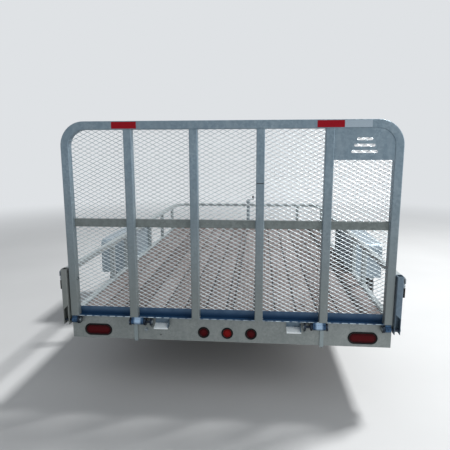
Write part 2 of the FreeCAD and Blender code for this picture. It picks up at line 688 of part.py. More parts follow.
def make_rails():
    """Top rails on posts along the sides, and a front rail with its two bends."""
    for side, sign in SIDES:
        x = flank(sign, "half_frame", "tube_size")
        posts = [
            tube(f"side_post_{side}_{number + 1}", "up", "tube_size", "tube_size", "tube_wall",
                 "rail_under - sill_top", (x, f"bed_rear + {station} - tube_size / 2", "sill_top"))
            for number, station in enumerate(POST_STATIONS)
        ]
        subpart(together(f"side_posts_{side}", posts), f"side_posts_{side}")
        rail = tube(f"top_rail_{side}", "forward", "tube_size", "tube_size", "tube_wall",
                    "bed_length - tube_size / 2 - rail_bend - rail_stub", (x, "bed_rear", "rail_under"))
        subpart(rail, f"top_rail_{side}")
    bend = bent_tube("front_rail", False, "tube_size", "tube_wall", "(half_frame + tube_size / 2)",
                     "rail_bend + rail_stub", "rail_bend",
                     ("0", "bed_front - tube_size / 2 - rail_bend - rail_stub", "rail_top - tube_size / 2"))
    subpart(bend, "front_rail")
    posts = [
        tube(f"front_post_{side}", "up", "tube_size", "tube_size", "tube_wall", "rail_under - deck_top",
             (f"{sign} * front_post_half - tube_size / 2", "bed_front - tube_size", "deck_top"))
        for side, sign in SIDES
    ]
    subpart(together("front_posts", posts), "front_posts")


def make_rear_posts():
    """Corner posts whose open feet hold the outer ends of the hinge pins."""
    for side, sign in SIDES:
        x = flank(sign, "half_frame", "tube_size")
        foot = "sill_under"
        blank = tube(f"rear_post_{side}_blank", "up", "tube_size", "post_depth", "post_wall",
                     "rail_top - sill_under", (x, "post_back", foot))
        inner, outer = "post_wall", "tube_size - post_wall"
        notch = [(f"{sign} * ({u})", v) for u, v in (
            (inner, "-bite"), (outer, "-bite"), (outer, "notch_low"), (inner, "notch_high"),
        )]
        opening = extruded(f"rear_post_{side}_notch", "forward", [notch], "post_wall + 2 * bite",
                           (f"{sign} * half_frame", "post_back - bite", foot))
        bore = rod(f"rear_post_{side}_bore", (x, "hinge_y", "hinge_z"), "x",
                   "pin_radius + pin_play", "tube_size")
        sleeve = rod(f"rear_post_{side}_latch_hole", (x, "latch_y", "latch_z"), "x",
                     "latch_radius + pin_play", "tube_size")
        subpart(cut(f"rear_post_{side}", blank, [opening, bore, sleeve]), f"rear_post_{side}")


def make_fenders():
    """Boxed sheet fenders with round top corners, open below, with a lip outside."""
    height = "fender_drop + fender_rise"
    for side, sign in SIDES:
        wide = "fender_width"
        x = flank(sign, "fender_inner", wide)
        half = "fender_length / 2"
        wall = "fender_wall"
        low = "deck_top - fender_drop"
        shell = extruded(f"fender_{side}_blank", "right", [(half, "0", height, "fender_bend")], wide,
                         (x, "axle_y", low), draw_arch)
        hollow_x = f"({x}) + {wall}"
        hollow = extruded(f"fender_{side}_hollow", "right",
                          [(f"{half} - {wall}", "-bite", f"{height} - {wall}", f"fender_bend - {wall}")],
                          f"{wide} - 2 * {wall}", (hollow_x, "axle_y", low), draw_arch)
        skirt_x = flank(sign, f"fender_inner + {wide} - {wall} - bite", f"{wall} + 2 * bite")
        skirt = extruded(f"fender_{side}_skirt", "right",
                         [(f"{half} - fender_lip", "-bite", f"{height} - fender_lip", "fender_bend / 2")],
                         f"{wall} + 2 * bite", (skirt_x, "axle_y", low), draw_arch)
        inner_x = flank(sign, "fender_inner - bite", f"{wall} + 2 * bite")
        below = block(f"fender_{side}_below", (inner_x, f"fender_rear + {wall}", f"{low} - bite"),
                      (f"{wall} + 2 * bite", f"fender_length - 2 * {wall}",
                       "sill_under - deck_top + fender_drop + bite"))
        subpart(cut(f"fender_{side}", shell, [hollow, skirt, below]), f"fender_{side}")


def make_tongue():
    """Two box beams that close on the coupler, and the plate that carries the jack."""
    slope, slack = "tongue_rise", "tongue_width / (2 * cos(tongue_angle * 1deg))"
    wall = "tongue_wall / cos(tongue_angle * 1deg)"
    run = "(tongue_front - tongue_rear)"
    for side, sign in SIDES:
        def leg(reach, start, stop):
            """The beam's plan between two stations from its tip, reach each side of its middle."""
            corners = []
            for station, hand in ((start, 1), (stop, 1), (stop, -1), (start, -1)):
                middle = f"tongue_tip - ({station}) * {slope}"
                corners.append((f"{sign} * ({middle} + {hand} * ({reach}))", station))
            return corners
        outer = extruded(f"tongue_{side}_blank", "up", [leg(slack, f"-{run}", "0")], "tongue_height",
                         ("0", "tongue_front", "tongue_under"))
        inner = extruded(f"tongue_{side}_bore", "up", [leg(f"{slack} - {wall}", f"-{run} - bite", "bite")],
                         "tongue_height - 2 * tongue_wall",
                         ("0", "tongue_front", "tongue_under + tongue_wall"))
        subpart(cut(f"tongue_beam_{side}", outer, [inner]), f"tongue_beam_{side}")
    near = "(jack_back - coupler_reach + jack_plate_length / 2)"
    far = "(jack_back - coupler_reach - jack_plate_length / 2)"
    half_near, half_far = (f"(tongue_tip + {station} * {slope})" for station in (near, far))
    outline = (
        (f"-{half_near}", f"-{near}"), (half_near, f"-{near}"),
        (half_far, f"-{far}"), (f"-{half_far}", f"-{far}"),
    )
    plate = extruded("jack_plate_blank", "up", [outline], "jack_plate", ("0", "tongue_front", "beam_under"))
    collar = rod("jack_collar", ("0", "jack_y", "beam_under"), "z", "jack_radius + collar_wall",
                 "jack_plate + collar_height")
    hole = rod("jack_plate_hole", ("0", "jack_y", "beam_under - bite"), "z", "jack_radius",
               "jack_plate + collar_height + 2 * bite")
    subpart(cut("jack_plate_bored", fuse("jack_plate_body", [plate, collar]), [hole]), "jack_plate")


def make_coupler():
    """An A-frame coupler: a plate flanged down along the beams, and a round head with the socket."""
    top = "beam_under"

    def reach(station, over):
        """Half the width over the beams at a station back from the nose."""
        side = f"(tongue_width / 2 + {over}) / cos(tongue_angle * 1deg)"
        return f"(tongue_tip + {side} + (({station}) - coupler_reach) * tongue_rise)"
    back, tip, over = "coupler_length", "coupler_reach", "coupler_play + coupler_wall"
    wide, narrow = reach(back, over), reach(tip, over)
    outline = (
        (f"-{wide}", f"-{back}"), (wide, f"-{back}"), (narrow, f"-{tip}"),
        ("coupler_radius", "-coupler_radius"), ("-coupler_radius", "-coupler_radius"),
        (f"-{narrow}", f"-{tip}"),
    )
    blank = extruded("coupler_blank", "up", [outline], "coupler_skirt + coupler_wall",
                     ("0", "nose_y", f"{top} - coupler_skirt"))
    past = f"({back} + bite)"
    wide, narrow = reach(past, "coupler_play"), reach(tip, "coupler_play")
    inside = (
        (f"-{wide}", f"-{past}"), (wide, f"-{past}"), (narrow, f"-{tip}"), (f"-{narrow}", f"-{tip}"),
    )
    room = extruded("coupler_room", "up", [inside], "coupler_skirt + bite",
                    ("0", "nose_y", f"{top} - coupler_skirt - bite"))
    shell = cut("coupler_shell", blank, [room])
    centre = "nose_y - coupler_radius"
    head = rod("coupler_head", ("0", centre, f"{top} - coupler_drop"), "z", "coupler_radius",
               "coupler_drop + coupler_wall")
    crown = doc.addObject("Part::Sphere", "coupler_crown")
    crown.setExpression("Radius", cells("coupler_radius - crown_inset"))
    place(crown, "0", centre, f"{top} - crown_inset")
    ball_level = f"{top} - coupler_drop + ball_rise"
    socket = doc.addObject("Part::Sphere", "coupler_socket")
    socket.setExpression("Radius", cells("ball_radius + ball_play"))
    place(socket, "0", centre, ball_level)
    mouth = rod("coupler_mouth", ("0", centre, f"{top} - coupler_drop - bite"), "z",
                "ball_radius + ball_play", "ball_rise + bite")
    body = fuse("coupler_body", [shell, head, crown])
    subpart(cut("coupler", body, [socket, mouth]), "coupler")
    lever_outline = (
        ("0", "0"), ("lever_base", "0"), ("lever_base", "lever_rise / 2"), ("-lever_reach", "lever_rise"),
        ("-lever_reach", "lever_rise - lever_thick"), ("0", "lever_rise / 2 - lever_thick"),
    )
    lever = extruded("coupler_lever", "right", [lever_outline], "lever_width",
                     ("-lever_width / 2", "nose_y - coupler_reach - lever_base", f"{top} + coupler_wall"))
    subpart(lever, "coupler_lever")


def make_jack():
    """A top-wind jack: outer tube with its cap and crank, and the inner leg with its foot."""
    outer = rod("jack_outer", ("0", "jack_y", "jack_tube_foot"), "z", "jack_radius",
                "jack_tube_top - jack_tube_foot")
    bore = rod("jack_bore", ("0", "jack_y", "jack_tube_foot - bite"), "z", "jack_radius - jack_wall",
               "jack_tube_top - jack_roof - jack_tube_foot + bite")
    cap = rod("jack_cap_body", ("0", "jack_y", "jack_tube_top - jack_cap_height"), "z", "jack_cap",
              "jack_cap_height")
    subpart(cut("jack_tube", fuse("jack_tube_body", [outer, cap]), [bore]), "jack_tube")
    hub = rod("crank_hub", ("0", "jack_y", "jack_tube_top"), "z", "crank_hub",
              "2 * (crank_radius + crank_cover)")
    arm = rod("crank_arm_rod", ("0", "jack_y", "jack_tube_top + crank_radius + crank_cover"), "x",
              "crank_radius", "crank_arm + crank_radius")
    arm.Placement.Rotation = Rotation(Vector(0, 0, 1), amount("crank_turn")) * TURNED["x"]
    knob = rod("crank_knob", ("crank_arm * cos(crank_turn * 1deg)",
                              "jack_y + crank_arm * sin(crank_turn * 1deg)", "jack_tube_top - crank_cover"),
               "z", "crank_knob", "crank_grip")
    subpart(fuse("jack_crank", [hub, arm, knob]), "jack_crank")
    foot = rod("jack_foot", ("0", "jack_y", "0"), "z", "foot_radius", "foot_thick")
    leg = rod("jack_inner", ("0", "jack_y", "foot_thick - bite"), "z", "jack_leg_radius",
              "jack_tube_top - jack_roof - leg_gap - jack_travel - foot_thick + bite")
    subpart(fuse("jack_leg", [foot, leg]), "jack_leg")


def leaf(name, x, half, level, thick, camber, span):
    """One spring leaf: a strip bent to the circle through the eyes and the axle seat."""
    rise = camber
    radius = (span * span + rise * rise) / (2 * rise)
    centre = Vector(x, 0, level + radius)
    reach = math.asin(half / radius)
    def edge(distance, angle):
        return centre + Vector(0, distance * math.sin(angle), -distance * math.cos(angle))
    inside, outside = radius - thick / 2, radius + thick / 2
    wire = Part.Wire([
        Part.Arc(edge(outside, -reach), edge(outside, 0), edge(outside, reach)).toShape(),
        Part.makeLine(edge(outside, reach), edge(inside, reach)),
        Part.Arc(edge(inside, reach), edge(inside, 0), edge(inside, -reach)).toShape(),
        Part.makeLine(edge(inside, -reach), edge(outside, -reach)),
    ])
    width = amount("spring_width")
    return Part.Face(wire).extrude(Vector(width, 0, 0))


def make_clamp(side, sign):
    """A plate under the spring, hung from two U-bolts over the axle beam."""
    under = "(spring_seat - leaf_count * leaf_thick - clamp_thick)"
    bend = "(axle_radius + bolt_rod + bolt_play)"
    pieces = [
        block(f"clamp_plate_{side}",
              (flank(sign, "spring_half - clamp_width / 2", "clamp_width"),
               "axle_y - clamp_length / 2", under),
              ("clamp_width", "clamp_length", "clamp_thick"))
    ]
    for key, hand in (("a", "-"), ("b", "+")):
        x = f"({sign} * spring_half {hand} (spring_width / 2 + bolt_rod + bolt_gap))"
        bow = doc.addObject("Part::Torus", f"clamp_bow_{side}_{key}")
        bow.Placement = FreeCAD.Placement(Vector(), FACING["right"][0])
        bow.setExpression("Radius1", cells(bend))
        bow.setExpression("Radius2", cells("bolt_rod"))
        bow.Angle3 = 180
        place(bow, x, "axle_y", "axle_z")
        pieces.append(bow)
        for end in ("-", "+"):
            leg_key = {"-": "rear", "+": "front"}[end]
            pieces.append(rod(f"clamp_leg_{side}_{key}_{leg_key}",
                              (x, f"axle_y {end} {bend}", f"{under} - bolt_tail"),
                              "z", "bolt_rod", f"axle_z - {under} + bolt_tail"))
    return fuse(f"clamp_{side}", pieces)


def make_suspension():
    """The axle beam with its spindles, a leaf spring each side, hangers and clamps."""
    beam_half = "(track_half + disc_offset - disc_wall - hub_length - axle_end_gap)"
    beam = rod("axle_tube", (f"-{beam_half}", "axle_y", "axle_z"), "x", "axle_radius", f"2 * {beam_half}")
    spindle_half = "(track_half + hub_length / 2 - spindle_end)"
    spindle = rod("axle_spindle", (f"-{spindle_half}", "axle_y", "axle_z"), "x", "spindle_radius",
                  f"2 * {spindle_half}")
    subpart(fuse("axle_beam", [beam, spindle]), "axle_beam")
    half_span, thick, camber = amount("spring_span / 2"), amount("leaf_thick"), amount("spring_camber")
    plates, hangers = [], []
    for side, sign in SIDES:
        low_x = amount(flank(sign, "spring_half - spring_width / 2", "spring_width"))
        leaves = []
        for number in range(int(amount("leaf_count"))):
            level = amount("spring_seat") - thick * (number + 0.5)
            half = half_span - number * amount("leaf_step")
            leaves.append(leaf("leaf", low_x, half, level, thick, camber, half_span))
        eyes = []
        for end in (-1, 1):
            at = Vector(low_x, end * half_span, amount("eye_z"))
            eyes.append(Part.makeCylinder(amount("eye_radius"), amount("spring_width"), at, Vector(1, 0, 0)))
        pack = leaves[0].multiFuse(leaves[1:] + eyes)
        bores = [
            Part.makeCylinder(amount("pin_radius"), amount("spring_width"),
                              Vector(low_x, end * half_span, amount("eye_z")), Vector(1, 0, 0))
            for end in (-1, 1)
        ]
        spring = doc.addObject("Part::Feature", f"leaf_spring_{side}")
        spring.Shape = pack.cut(Part.makeCompound(bores)).removeSplitter()
        spring.Placement = FreeCAD.Placement(Vector(0, amount("axle_y"), 0), Rotation())
        subpart(spring, f"leaf_spring_{side}")
        for end in (-1, 1):
            for cheek, inner in (("a", "spring_half - spring_width / 2 - hanger_wall - hanger_gap"),
                                 ("b", "spring_half + spring_width / 2 + hanger_gap")):
                name = f"hanger_{side}_{'rear' if end < 0 else 'front'}_{cheek}"
                eye_y = f"axle_y + {end} * spring_span / 2"
                x = flank(sign, inner, "hanger_wall")
                drop = "(beam_under - eye_z)"
                body = block(f"{name}_plate", (x, f"{eye_y} - hanger_length / 2", "eye_z"),
                             ("hanger_wall", "hanger_length", drop))
                nose = rod(f"{name}_nose", (x, eye_y, "eye_z"), "x", "eye_radius + hanger_nose",
                           "hanger_wall")
                hangers.append(fuse(name, [body, nose]))
            pin_half = "(spring_width / 2 + hanger_gap + hanger_wall + hanger_tail)"
            hangers.append(rod(f"hanger_pin_{side}_{'rear' if end < 0 else 'front'}",
                               (f"{sign} * spring_half - {pin_half}", eye_y, "eye_z"), "x",
                               "pin_radius - pin_play", f"2 * {pin_half}"))
        plates.append(make_clamp(side, sign))
    joined = []
    for side, sign in SIDES:
        for end in ("rear", "front"):
            parts = [thing for thing in hangers if f"_{side}_{end}" in thing.Name]
            joined.append(fuse(f"hanger_{side}_{end}", parts))
    subpart(together("spring_hangers", joined), "spring_hangers")
    subpart(together("axle_clamps", plates), "axle_clamps")


def make_wheels():
    """Tyre, rim and hub of each wheel, in place on its spindle."""
    half_rim = "rim_width / 2"
    for side, sign in SIDES:
        at = (f"{sign} * track_half", "axle_y", "axle_z")
        outline = [*TYRE_SIDE, *((f"-({u})", v) for u, v in reversed(TYRE_SIDE))]
        subpart(turned(f"tyre_{side}", [outline], at), f"tyre_{side}")
        lip = "rim_radius + rim_lip"
        inner = "rim_radius - rim_wall"
        rim_outline = (
            (f"-{half_rim}", lip), (f"-{half_rim}", inner), (f"{half_rim}", inner), (f"{half_rim}", lip),
            (f"{half_rim} - rim_wall", lip), (f"{half_rim} - rim_wall", "rim_radius"),
            (f"-{half_rim} + rim_wall", "rim_radius"), (f"-{half_rim} + rim_wall", lip),
        )
        ring = turned(f"rim_{side}_ring", [rim_outline], at)
        front = (
            ("0", "pilot_radius"), ("0", "disc_flat"), ("disc_crown", "crown_inner"),
            ("disc_crown", "crown_outer"), ("-disc_set", "disc_foot"), ("-disc_set", inner),
        )
        shift = "disc_wall / 2"
        rear = (
            ("-disc_set", inner), ("-disc_set", f"disc_foot - {shift}"),
            ("disc_crown", f"crown_outer - {shift}"), ("disc_crown", f"crown_inner + {shift}"),
            ("0", f"disc_flat + {shift}"), ("0", "pilot_radius"),
        )
        disc_outline = [(f"{sign} * (disc_offset + {u})", v) for u, v in front]
        disc_outline += [(f"{sign} * (disc_offset - disc_wall + {u})", v) for u, v in rear]
        disc = turned(f"rim_{side}_disc", [disc_outline], at)
        vents = []
        for number in range(8):
            angle = f"({number} * 45) * 1deg"
            vents.append(rod(f"rim_{side}_vent_{number + 1}",
                             (f"{sign} * track_half - {half_rim}", f"axle_y + vent_circle * cos({angle})",
                              f"axle_z + vent_circle * sin({angle})"), "x", "vent_radius", "rim_width"))
        for number in range(5):
            angle = f"({number} * 72 + 90) * 1deg"
            vents.append(rod(f"rim_{side}_stud_hole_{number + 1}",
                             (f"{sign} * track_half - {half_rim}", f"axle_y + bolt_circle * cos({angle})",
                              f"axle_z + bolt_circle * sin({angle})"), "x", "stud_radius + pilot_play",
                             "rim_width"))
        dish = cut(f"rim_{side}_dish", disc, vents)
        subpart(fuse(f"rim_{side}", [ring, dish]), f"rim_{side}")
        face, bore = "disc_offset - disc_wall", "spindle_radius + pin_play"
        hub_outline = [(f"{sign} * ({u})", v) for u, v in (
            (f"{face} - hub_length", "hub_radius"), (f"{face} - flange_thick", "hub_radius"),
            (f"{face} - flange_thick", "flange_radius"), (face, "flange_radius"),
            (face, "pilot_radius - pilot_play"), ("disc_offset + cap_shoulder", "cap_radius"),
            ("disc_offset + cap_length", "cap_radius - cap_slope"), ("disc_offset + cap_length", "0"),
            ("disc_offset + cap_length - cap_wall", "0"), ("disc_offset + cap_length - cap_wall", bore),
            (f"{face} - hub_length", bore),
        )]
        barrel = turned(f"hub_{side}_barrel", [hub_outline], at)
        nuts = []
        for number in range(5):
            angle = f"({number} * 72 + 90) * 1deg"
            nut = doc.addObject("Part::Prism", f"hub_{side}_nut_{number + 1}")
            nut.Polygon = 6
            nut.Placement = FreeCAD.Placement(Vector(), TURNED["x"])
            nut.setExpression("Circumradius", cells("nut_size"))
            nut.setExpression("Height", cells("nut_length"))
            seat = (f"axle_y + bolt_circle * cos({angle})", f"axle_z + bolt_circle * sin({angle})")
            place(nut, flank(sign, "track_half + disc_offset", "nut_length"), *seat)
            nuts.append(nut)
            stud_start = flank(sign, f"track_half + {face} - bite", "nut_length")
            nuts.append(rod(f"hub_{side}_stud_{number + 1}", (stud_start, *seat), "x", "stud_radius",
                            "nut_length"))
        subpart(fuse(f"hub_{side}", [barrel, *nuts]), f"hub_{side}")


def make_gate():
    """The ramp gate: bent outer tube, uprights, mid and bottom bars."""
    frame = bent_tube("gate_hoop", True, "gate_tube", "gate_wall", "(gate_width / 2 - gate_tube / 2)",
                      "gate_height - gate_tube / 2", "gate_bend",
                      ("0", "gate_back + gate_tube / 2", "gate_under"))
    holes = [
        rod(f"gate_latch_hole_{side}", (flank(sign, "gate_width / 2 - gate_tube", "gate_tube"), "latch_y",
                                        "latch_z"), "x", "latch_radius + latch_play", "gate_tube")
        for side, sign in SIDES
    ]
    subpart(cut("gate_frame", frame, holes), "gate_frame")
    half = "gate_tube / 2"
    uprights, mids, feet = [], [], []
    for number, step in enumerate((-1.5, -0.5, 0.5, 1.5), 1):
        uprights.append(tube(f"upright_{number}", "up", "gate_tube", "gate_tube", "gate_wall",
                             "gate_height - gate_tube",
                             (f"{step} * bay_pitch - {half}", "gate_back", "gate_under")))
    subpart(together("gate_uprights", uprights), "gate_uprights")
    edges = ["-gate_leg", *(f"{step} * bay_pitch" for step in (-1.5, -0.5, 0.5, 1.5)), "gate_leg"]
    angle = (("0", "0"), ("gate_tube", "0"), ("gate_tube", "gate_tube"),
             ("gate_tube - foot_wall", "gate_tube"), ("gate_tube - foot_wall", "foot_wall"),
             ("0", "foot_wall"))
    for number, (start, stop) in enumerate(zip(edges, edges[1:]), 1):
        clear = f"({stop}) - ({start}) - gate_tube"
        x = f"({start}) + {half}"
        mids.append(tube(f"mid_bar_{number}", "right", "mid_depth", "gate_tube", "gate_wall", clear,
                         (x, "gate_front - mid_depth", "gate_top - mid_drop - gate_tube")))
        feet.append(extruded(f"bottom_bar_{number}", "right", [angle], clear,
                             (x, "gate_back", "gate_under")))
    subpart(together("gate_mid_bar", mids), "gate_mid_bar")
    subpart(together("gate_bottom_bar", feet), "gate_bottom_bar")


def gate_outline(inset, thick, base):
    """The gate's own outline, drawn in by the inset, as a sheet that starts at base."""
    half = amount("gate_width / 2") - inset
    low, high = amount("gate_under") + inset, amount("gate_top") - inset
    bend = amount("gate_bend + gate_tube / 2") - inset
    corner = bend * (1 - math.sqrt(0.5))
    def at(x, z):
        return Vector(x, base, z)
    edges = [
        Part.makeLine(at(-half, low), at(-half, high - bend)),
        Part.Arc(at(-half, high - bend), at(-half + corner, high - corner), at(-half + bend, high)).toShape(),
        Part.makeLine(at(-half + bend, high), at(half - bend, high)),
        Part.Arc(at(half - bend, high), at(half - corner, high - corner), at(half, high - bend)).toShape(),
        Part.makeLine(at(half, high - bend), at(half, low)),
        Part.makeLine(at(half, low), at(-half, low)),
    ]
    return Part.Face(Part.Wire(edges)).extrude(Vector(0, thick, 0))


def make_mesh():
    """Expanded mesh: strands in two directions, one behind the other, held by a border strip."""
    inset, edge = amount("mesh_inset"), amount("mesh_edge")
    layer, width = amount("strand_thick"), amount("strand_width")
    gap = amount("strand_gap")
    base = amount("gate_front")
    sheet_thick = 2 * layer + gap
    border = gate_outline(inset, sheet_thick, base).cut(gate_outline(inset + edge, sheet_thick, base))
    slope = amount("mesh_short") / amount("mesh_long")
    angle = math.degrees(math.atan(slope))
    half = amount("gate_width / 2") - inset
    low, high = amount("gate_under") + inset, amount("gate_top") - inset
    rise = high - low
    run = rise / slope
    pitch = amount("mesh_long")
    length = rise / math.sin(math.radians(angle)) + pitch
    strands = []
    for direction, start in ((1, base), (-1, base + layer + gap)):
        field = gate_outline(inset + edge / 2, layer, start)
        count = int((2 * half + run) / pitch) + 1
        bars = []
        for number in range(count):
            x = -half - run + number * pitch + pitch / 2
            bar = Part.makeBox(length, layer, width, Vector(0, start, -width / 2))
            bar.rotate(Vector(), Vector(0, -1, 0), angle)
            if direction < 0:
                bar = bar.mirror(Vector(), Vector(1, 0, 0))
            bar.translate(Vector(direction * x, 0, low))
            bars.append(bar)
        strands.extend(Part.makeCompound(bars).common(field).Solids)
    mesh = doc.addObject("Part::Feature", "gate_mesh")
    mesh.Shape = border.multiFuse(strands)
    mesh.Placement = FreeCAD.Placement()
    subpart(mesh, "gate_mesh")


def make_corner_plate():
    """A plate that fills the top of the right-hand bay, with three plain slots."""
    start = "(1.5 * bay_pitch + gate_tube / 2)"
    width = f"(gate_leg - gate_tube / 2 - {start})"
    thick = "plate_thick"
    back = "(gate_back + plate_recess)"
    top = "(gate_top - gate_tube)"
    blank = block("corner_plate_blank", (start, back, f"{top} - plate_height"),
                  (width, thick, "plate_height"))
    bend = "gate_bend - gate_tube / 2"
    corner = extruded("corner_plate_arch", "forward",
                      [("gate_leg - gate_tube / 2", "0", "gate_height - gate_tube", bend)], thick,
                      ("0", back, "gate_under"), draw_arch)
    shaped = doc.addObject("Part::Common", "corner_plate_shaped")
    shaped.Base, shaped.Tool = blank, corner
    slots = []
    for number, (step, share) in enumerate(((1, 0.6), (0, 0.8), (-1, 1.0)), 1):
        slots.append(stadium(f"corner_plate_slot_{number}", f"{start} + {width} / 2",
                             f"{top} - plate_height / 2 + {step} * slot_pitch - slot_drop",
                             f"slot_length * {share}", "slot_height", f"{back} - bite",
                             f"{thick} + 2 * bite"))
    subpart(cut("gate_corner_plate", shaped, slots), "gate_corner_plate")


def hinges():
    """side, sign, kind, and the barrel's centre and length for each of the four hinges."""
    for side, sign in SIDES:
        yield side, sign, "inner", "inner_hinge", "inner_barrel"
        yield side, sign, "outer", "(gate_leg - 1)", "outer_barrel"


def make_hinges():
    """Barrels under the gate, lugs on the channel and the pins through both."""
    barrels, lugs, pins = [], [], []
    for side, sign, kind, centre, length in hinges():
        name = f"{kind}_{side}"
        x = f"{sign} * {centre} - {length} / 2"
        tab = block(f"barrel_tab_{name}", (x, "hinge_y - tab_depth / 2", "hinge_z"),
                    (length, "tab_depth", "gate_under - hinge_z"))
        round_bar = rod(f"barrel_round_{name}", (x, "hinge_y", "hinge_z"), "x", "barrel_radius", length)
        bore = rod(f"barrel_bore_{name}", (x, "hinge_y", "hinge_z"), "x", "pin_radius + pin_play", length)
        barrels.append(cut(f"barrel_{name}", fuse(f"barrel_body_{name}", [tab, round_bar]), [bore]))
        reach = f"({centre} - {length} / 2 - lug_gap - lug_thick)"
        stations = [("a", reach)]
        if kind == "inner":
            stations.append(("b", f"({centre} + {length} / 2 + lug_gap)"))
            stations.append(("c", "brace_reach"))
        for key, inner in stations:
            low_x = flank(sign, inner, "lug_thick")
            foot = block(f"lug_foot_{name}_{key}", (low_x, "hinge_y", "hinge_z - lug_radius"),
                         ("lug_thick", "hinge_reach", "2 * lug_radius - lug_step"))
            if key == "c":
                brace = (("0", "0"), ("hinge_reach", "-brace_drop"), ("hinge_reach", "0"))
                foot = fuse(f"lug_brace_{name}", [foot, extruded(
                    f"brace_{name}", "right", [brace], "lug_thick",
                    (low_x, "hinge_y", "hinge_z - lug_radius"))])
            eye = rod(f"lug_eye_{name}_{key}", (low_x, "hinge_y", "hinge_z"), "x", "lug_radius", "lug_thick")
            hole = rod(f"lug_hole_{name}_{key}", (low_x, "hinge_y", "hinge_z"), "x",
                       "pin_radius + pin_play", "lug_thick")
            lugs.append(cut(f"lug_{name}_{key}", fuse(f"lug_body_{name}_{key}", [foot, eye]), [hole]))
        if kind == "inner":
            start = "(brace_reach - pin_tail)"
            stop = f"({centre} + {length} / 2 + lug_gap + lug_thick + pin_tail)"
        else:
            start, stop = f"({reach} - pin_tail)", "(half_frame + tube_size + pin_tail)"
        pins.append(rod(f"pin_{name}", (flank(sign, start, f"{stop} - {start}"), "hinge_y", "hinge_z"),
                        "x", "pin_radius", f"{stop} - {start}"))
        if kind == "inner":
            strap = block(f"strap_{side}",
                          (f"{sign} * strap_half - strap_width / 2", "bed_rear - strap_thick",
                           "deck_top - strap_drop"),
                          ("strap_width", "strap_thick", "strap_drop - strap_top"))
            lugs.append(strap)
    subpart(together("gate_barrels", barrels), "gate_barrels")
    subpart(together("hinge_lugs", lugs), "hinge_lugs")
    subpart(together("hinge_pins", pins), "hinge_pins")


def make_gate_rests():
    """Shelf brackets on the channel that the lowered gate lies over."""
    rests = []
    for side, sign in SIDES:
        drop, wall = "(rest_drop + rest_rise)", "rest_wall"
        section = (
            ("-rest_depth", f"-{wall}"), ("0", f"-{wall}"), ("0", drop), (f"-{wall}", drop),
            (f"-{wall}", "0"), ("-rest_depth", "0"),
        )
        shelf = extruded(f"rest_shelf_{side}", "right", [section], "rest_width",
                         (f"{sign} * rest_centre - rest_width / 2", "bed_rear", "deck_top - rest_drop"))
        web_top = f"{drop} - rest_web_drop"
        web = (("-rest_depth", "-bite"), ("0", "-bite"), ("0", web_top), (f"-{wall} - rest_web_tip", web_top))
        gusset = extruded(f"rest_gusset_{side}", "right", [web], wall,
                          (f"{sign} * rest_centre + rest_width / 2 - {wall}", "bed_rear",
                           "deck_top - rest_drop"))
        rests.append(fuse(f"rest_{side}", [shelf, gusset]))
    subpart(together("gate_rests", rests), "gate_rests")


def make_latches():
    """Spring-pin latches on the rear posts, drawn back, their grips, and the gate's bushes."""
    grips, bushes = [], []
    for side, sign in SIDES:
        outer = "(half_frame + tube_size)"
        tip = "(gate_width / 2 + latch_gap)"
        end = f"({outer} + latch_reach)"
        pin = rod(f"latch_pin_{side}", (flank(sign, tip, f"{end} - {tip}"), "latch_y", "latch_z"), "x",
                  "latch_radius", f"{end} - {tip}")
        handle = rod(f"latch_handle_{side}", (f"{sign} * ({end} - latch_radius)", "latch_y",
                                              "latch_z - grip_length - grip_lead"), "z", "latch_radius",
                     "grip_length + grip_lead + latch_radius")
        strap = [(f"{sign} * {u}", v) for u, v in LATCH_LOOP]
        loop = extruded(f"latch_strap_{side}", "forward", [strap], "latch_loop",
                        (f"{sign} * {outer}", "latch_y - latch_loop / 2", "latch_z"))
        subpart(together(f"latch_{side}", [fuse(f"latch_rod_{side}", [pin, handle]), loop]), f"latch_{side}")
        handle_foot = "latch_z - grip_length - grip_lead"
        sleeve = rod(f"grip_body_{side}", (f"{sign} * ({end} - latch_radius)", "latch_y",
                                           f"{handle_foot} - grip_cap"), "z", "grip_radius",
                     "grip_length - grip_lead")
        bore = rod(f"grip_bore_{side}", (f"{sign} * ({end} - latch_radius)", "latch_y", handle_foot), "z",
                   "latch_radius", "grip_length")
        grips.append(cut(f"grip_{side}", sleeve, [bore]))
        bush_x = flank(sign, "gate_width / 2 - gate_tube - bush_length", "bush_length")
        bush = rod(f"bush_{side}", (bush_x, "latch_y", "latch_z"), "x", "bush_radius", "bush_length")
        eye = rod(f"bush_eye_{side}", (bush_x, "latch_y", "latch_z"), "x", "latch_radius + latch_play",
                  "bush_length")
        bushes.append(cut(f"bush_ring_{side}", bush, [eye]))
    subpart(together("latch_grips", grips), "latch_grips")
    subpart(together("latch_bushes", bushes), "latch_bushes")


def make_lamps():
    """Rubber grommets in the rear channel and the lamps they hold."""
    grommets, lamps = [], []
    for name, x, level, width, height in lamp_places():
        rim = lamp_solid(f"grommet_rim_{name}", x, level, width, height, "bed_rear - grommet_proud",
                         "grommet_proud")
        neck = lamp_solid(f"grommet_neck_{name}", x, level, f"{width} - lens_inset",
                          f"{height} - lens_inset", "bed_rear - bite", "lens_depth")
        hollow = lamp_solid(f"grommet_hollow_{name}", x, level, f"{width} - 2 * lens_inset",
                            f"{height} - 2 * lens_inset", "bed_rear - grommet_proud - bite",
                            "lens_depth + grommet_proud + 2 * bite")
        grommets.append(cut(f"grommet_{name}", fuse(f"grommet_body_{name}", [rim, neck]), [hollow]))
        lamps.append(lamp_solid(f"lamp_{name}", x, level, f"{width} - 2 * lens_inset",
                                f"{height} - 2 * lens_inset", "bed_rear - lens_proud",
                                "lens_depth + lens_proud"))
    subpart(together("lamp_grommets", grommets), "lamp_grommets")
    subpart(together("tail_lamps", lamps), "tail_lamps")


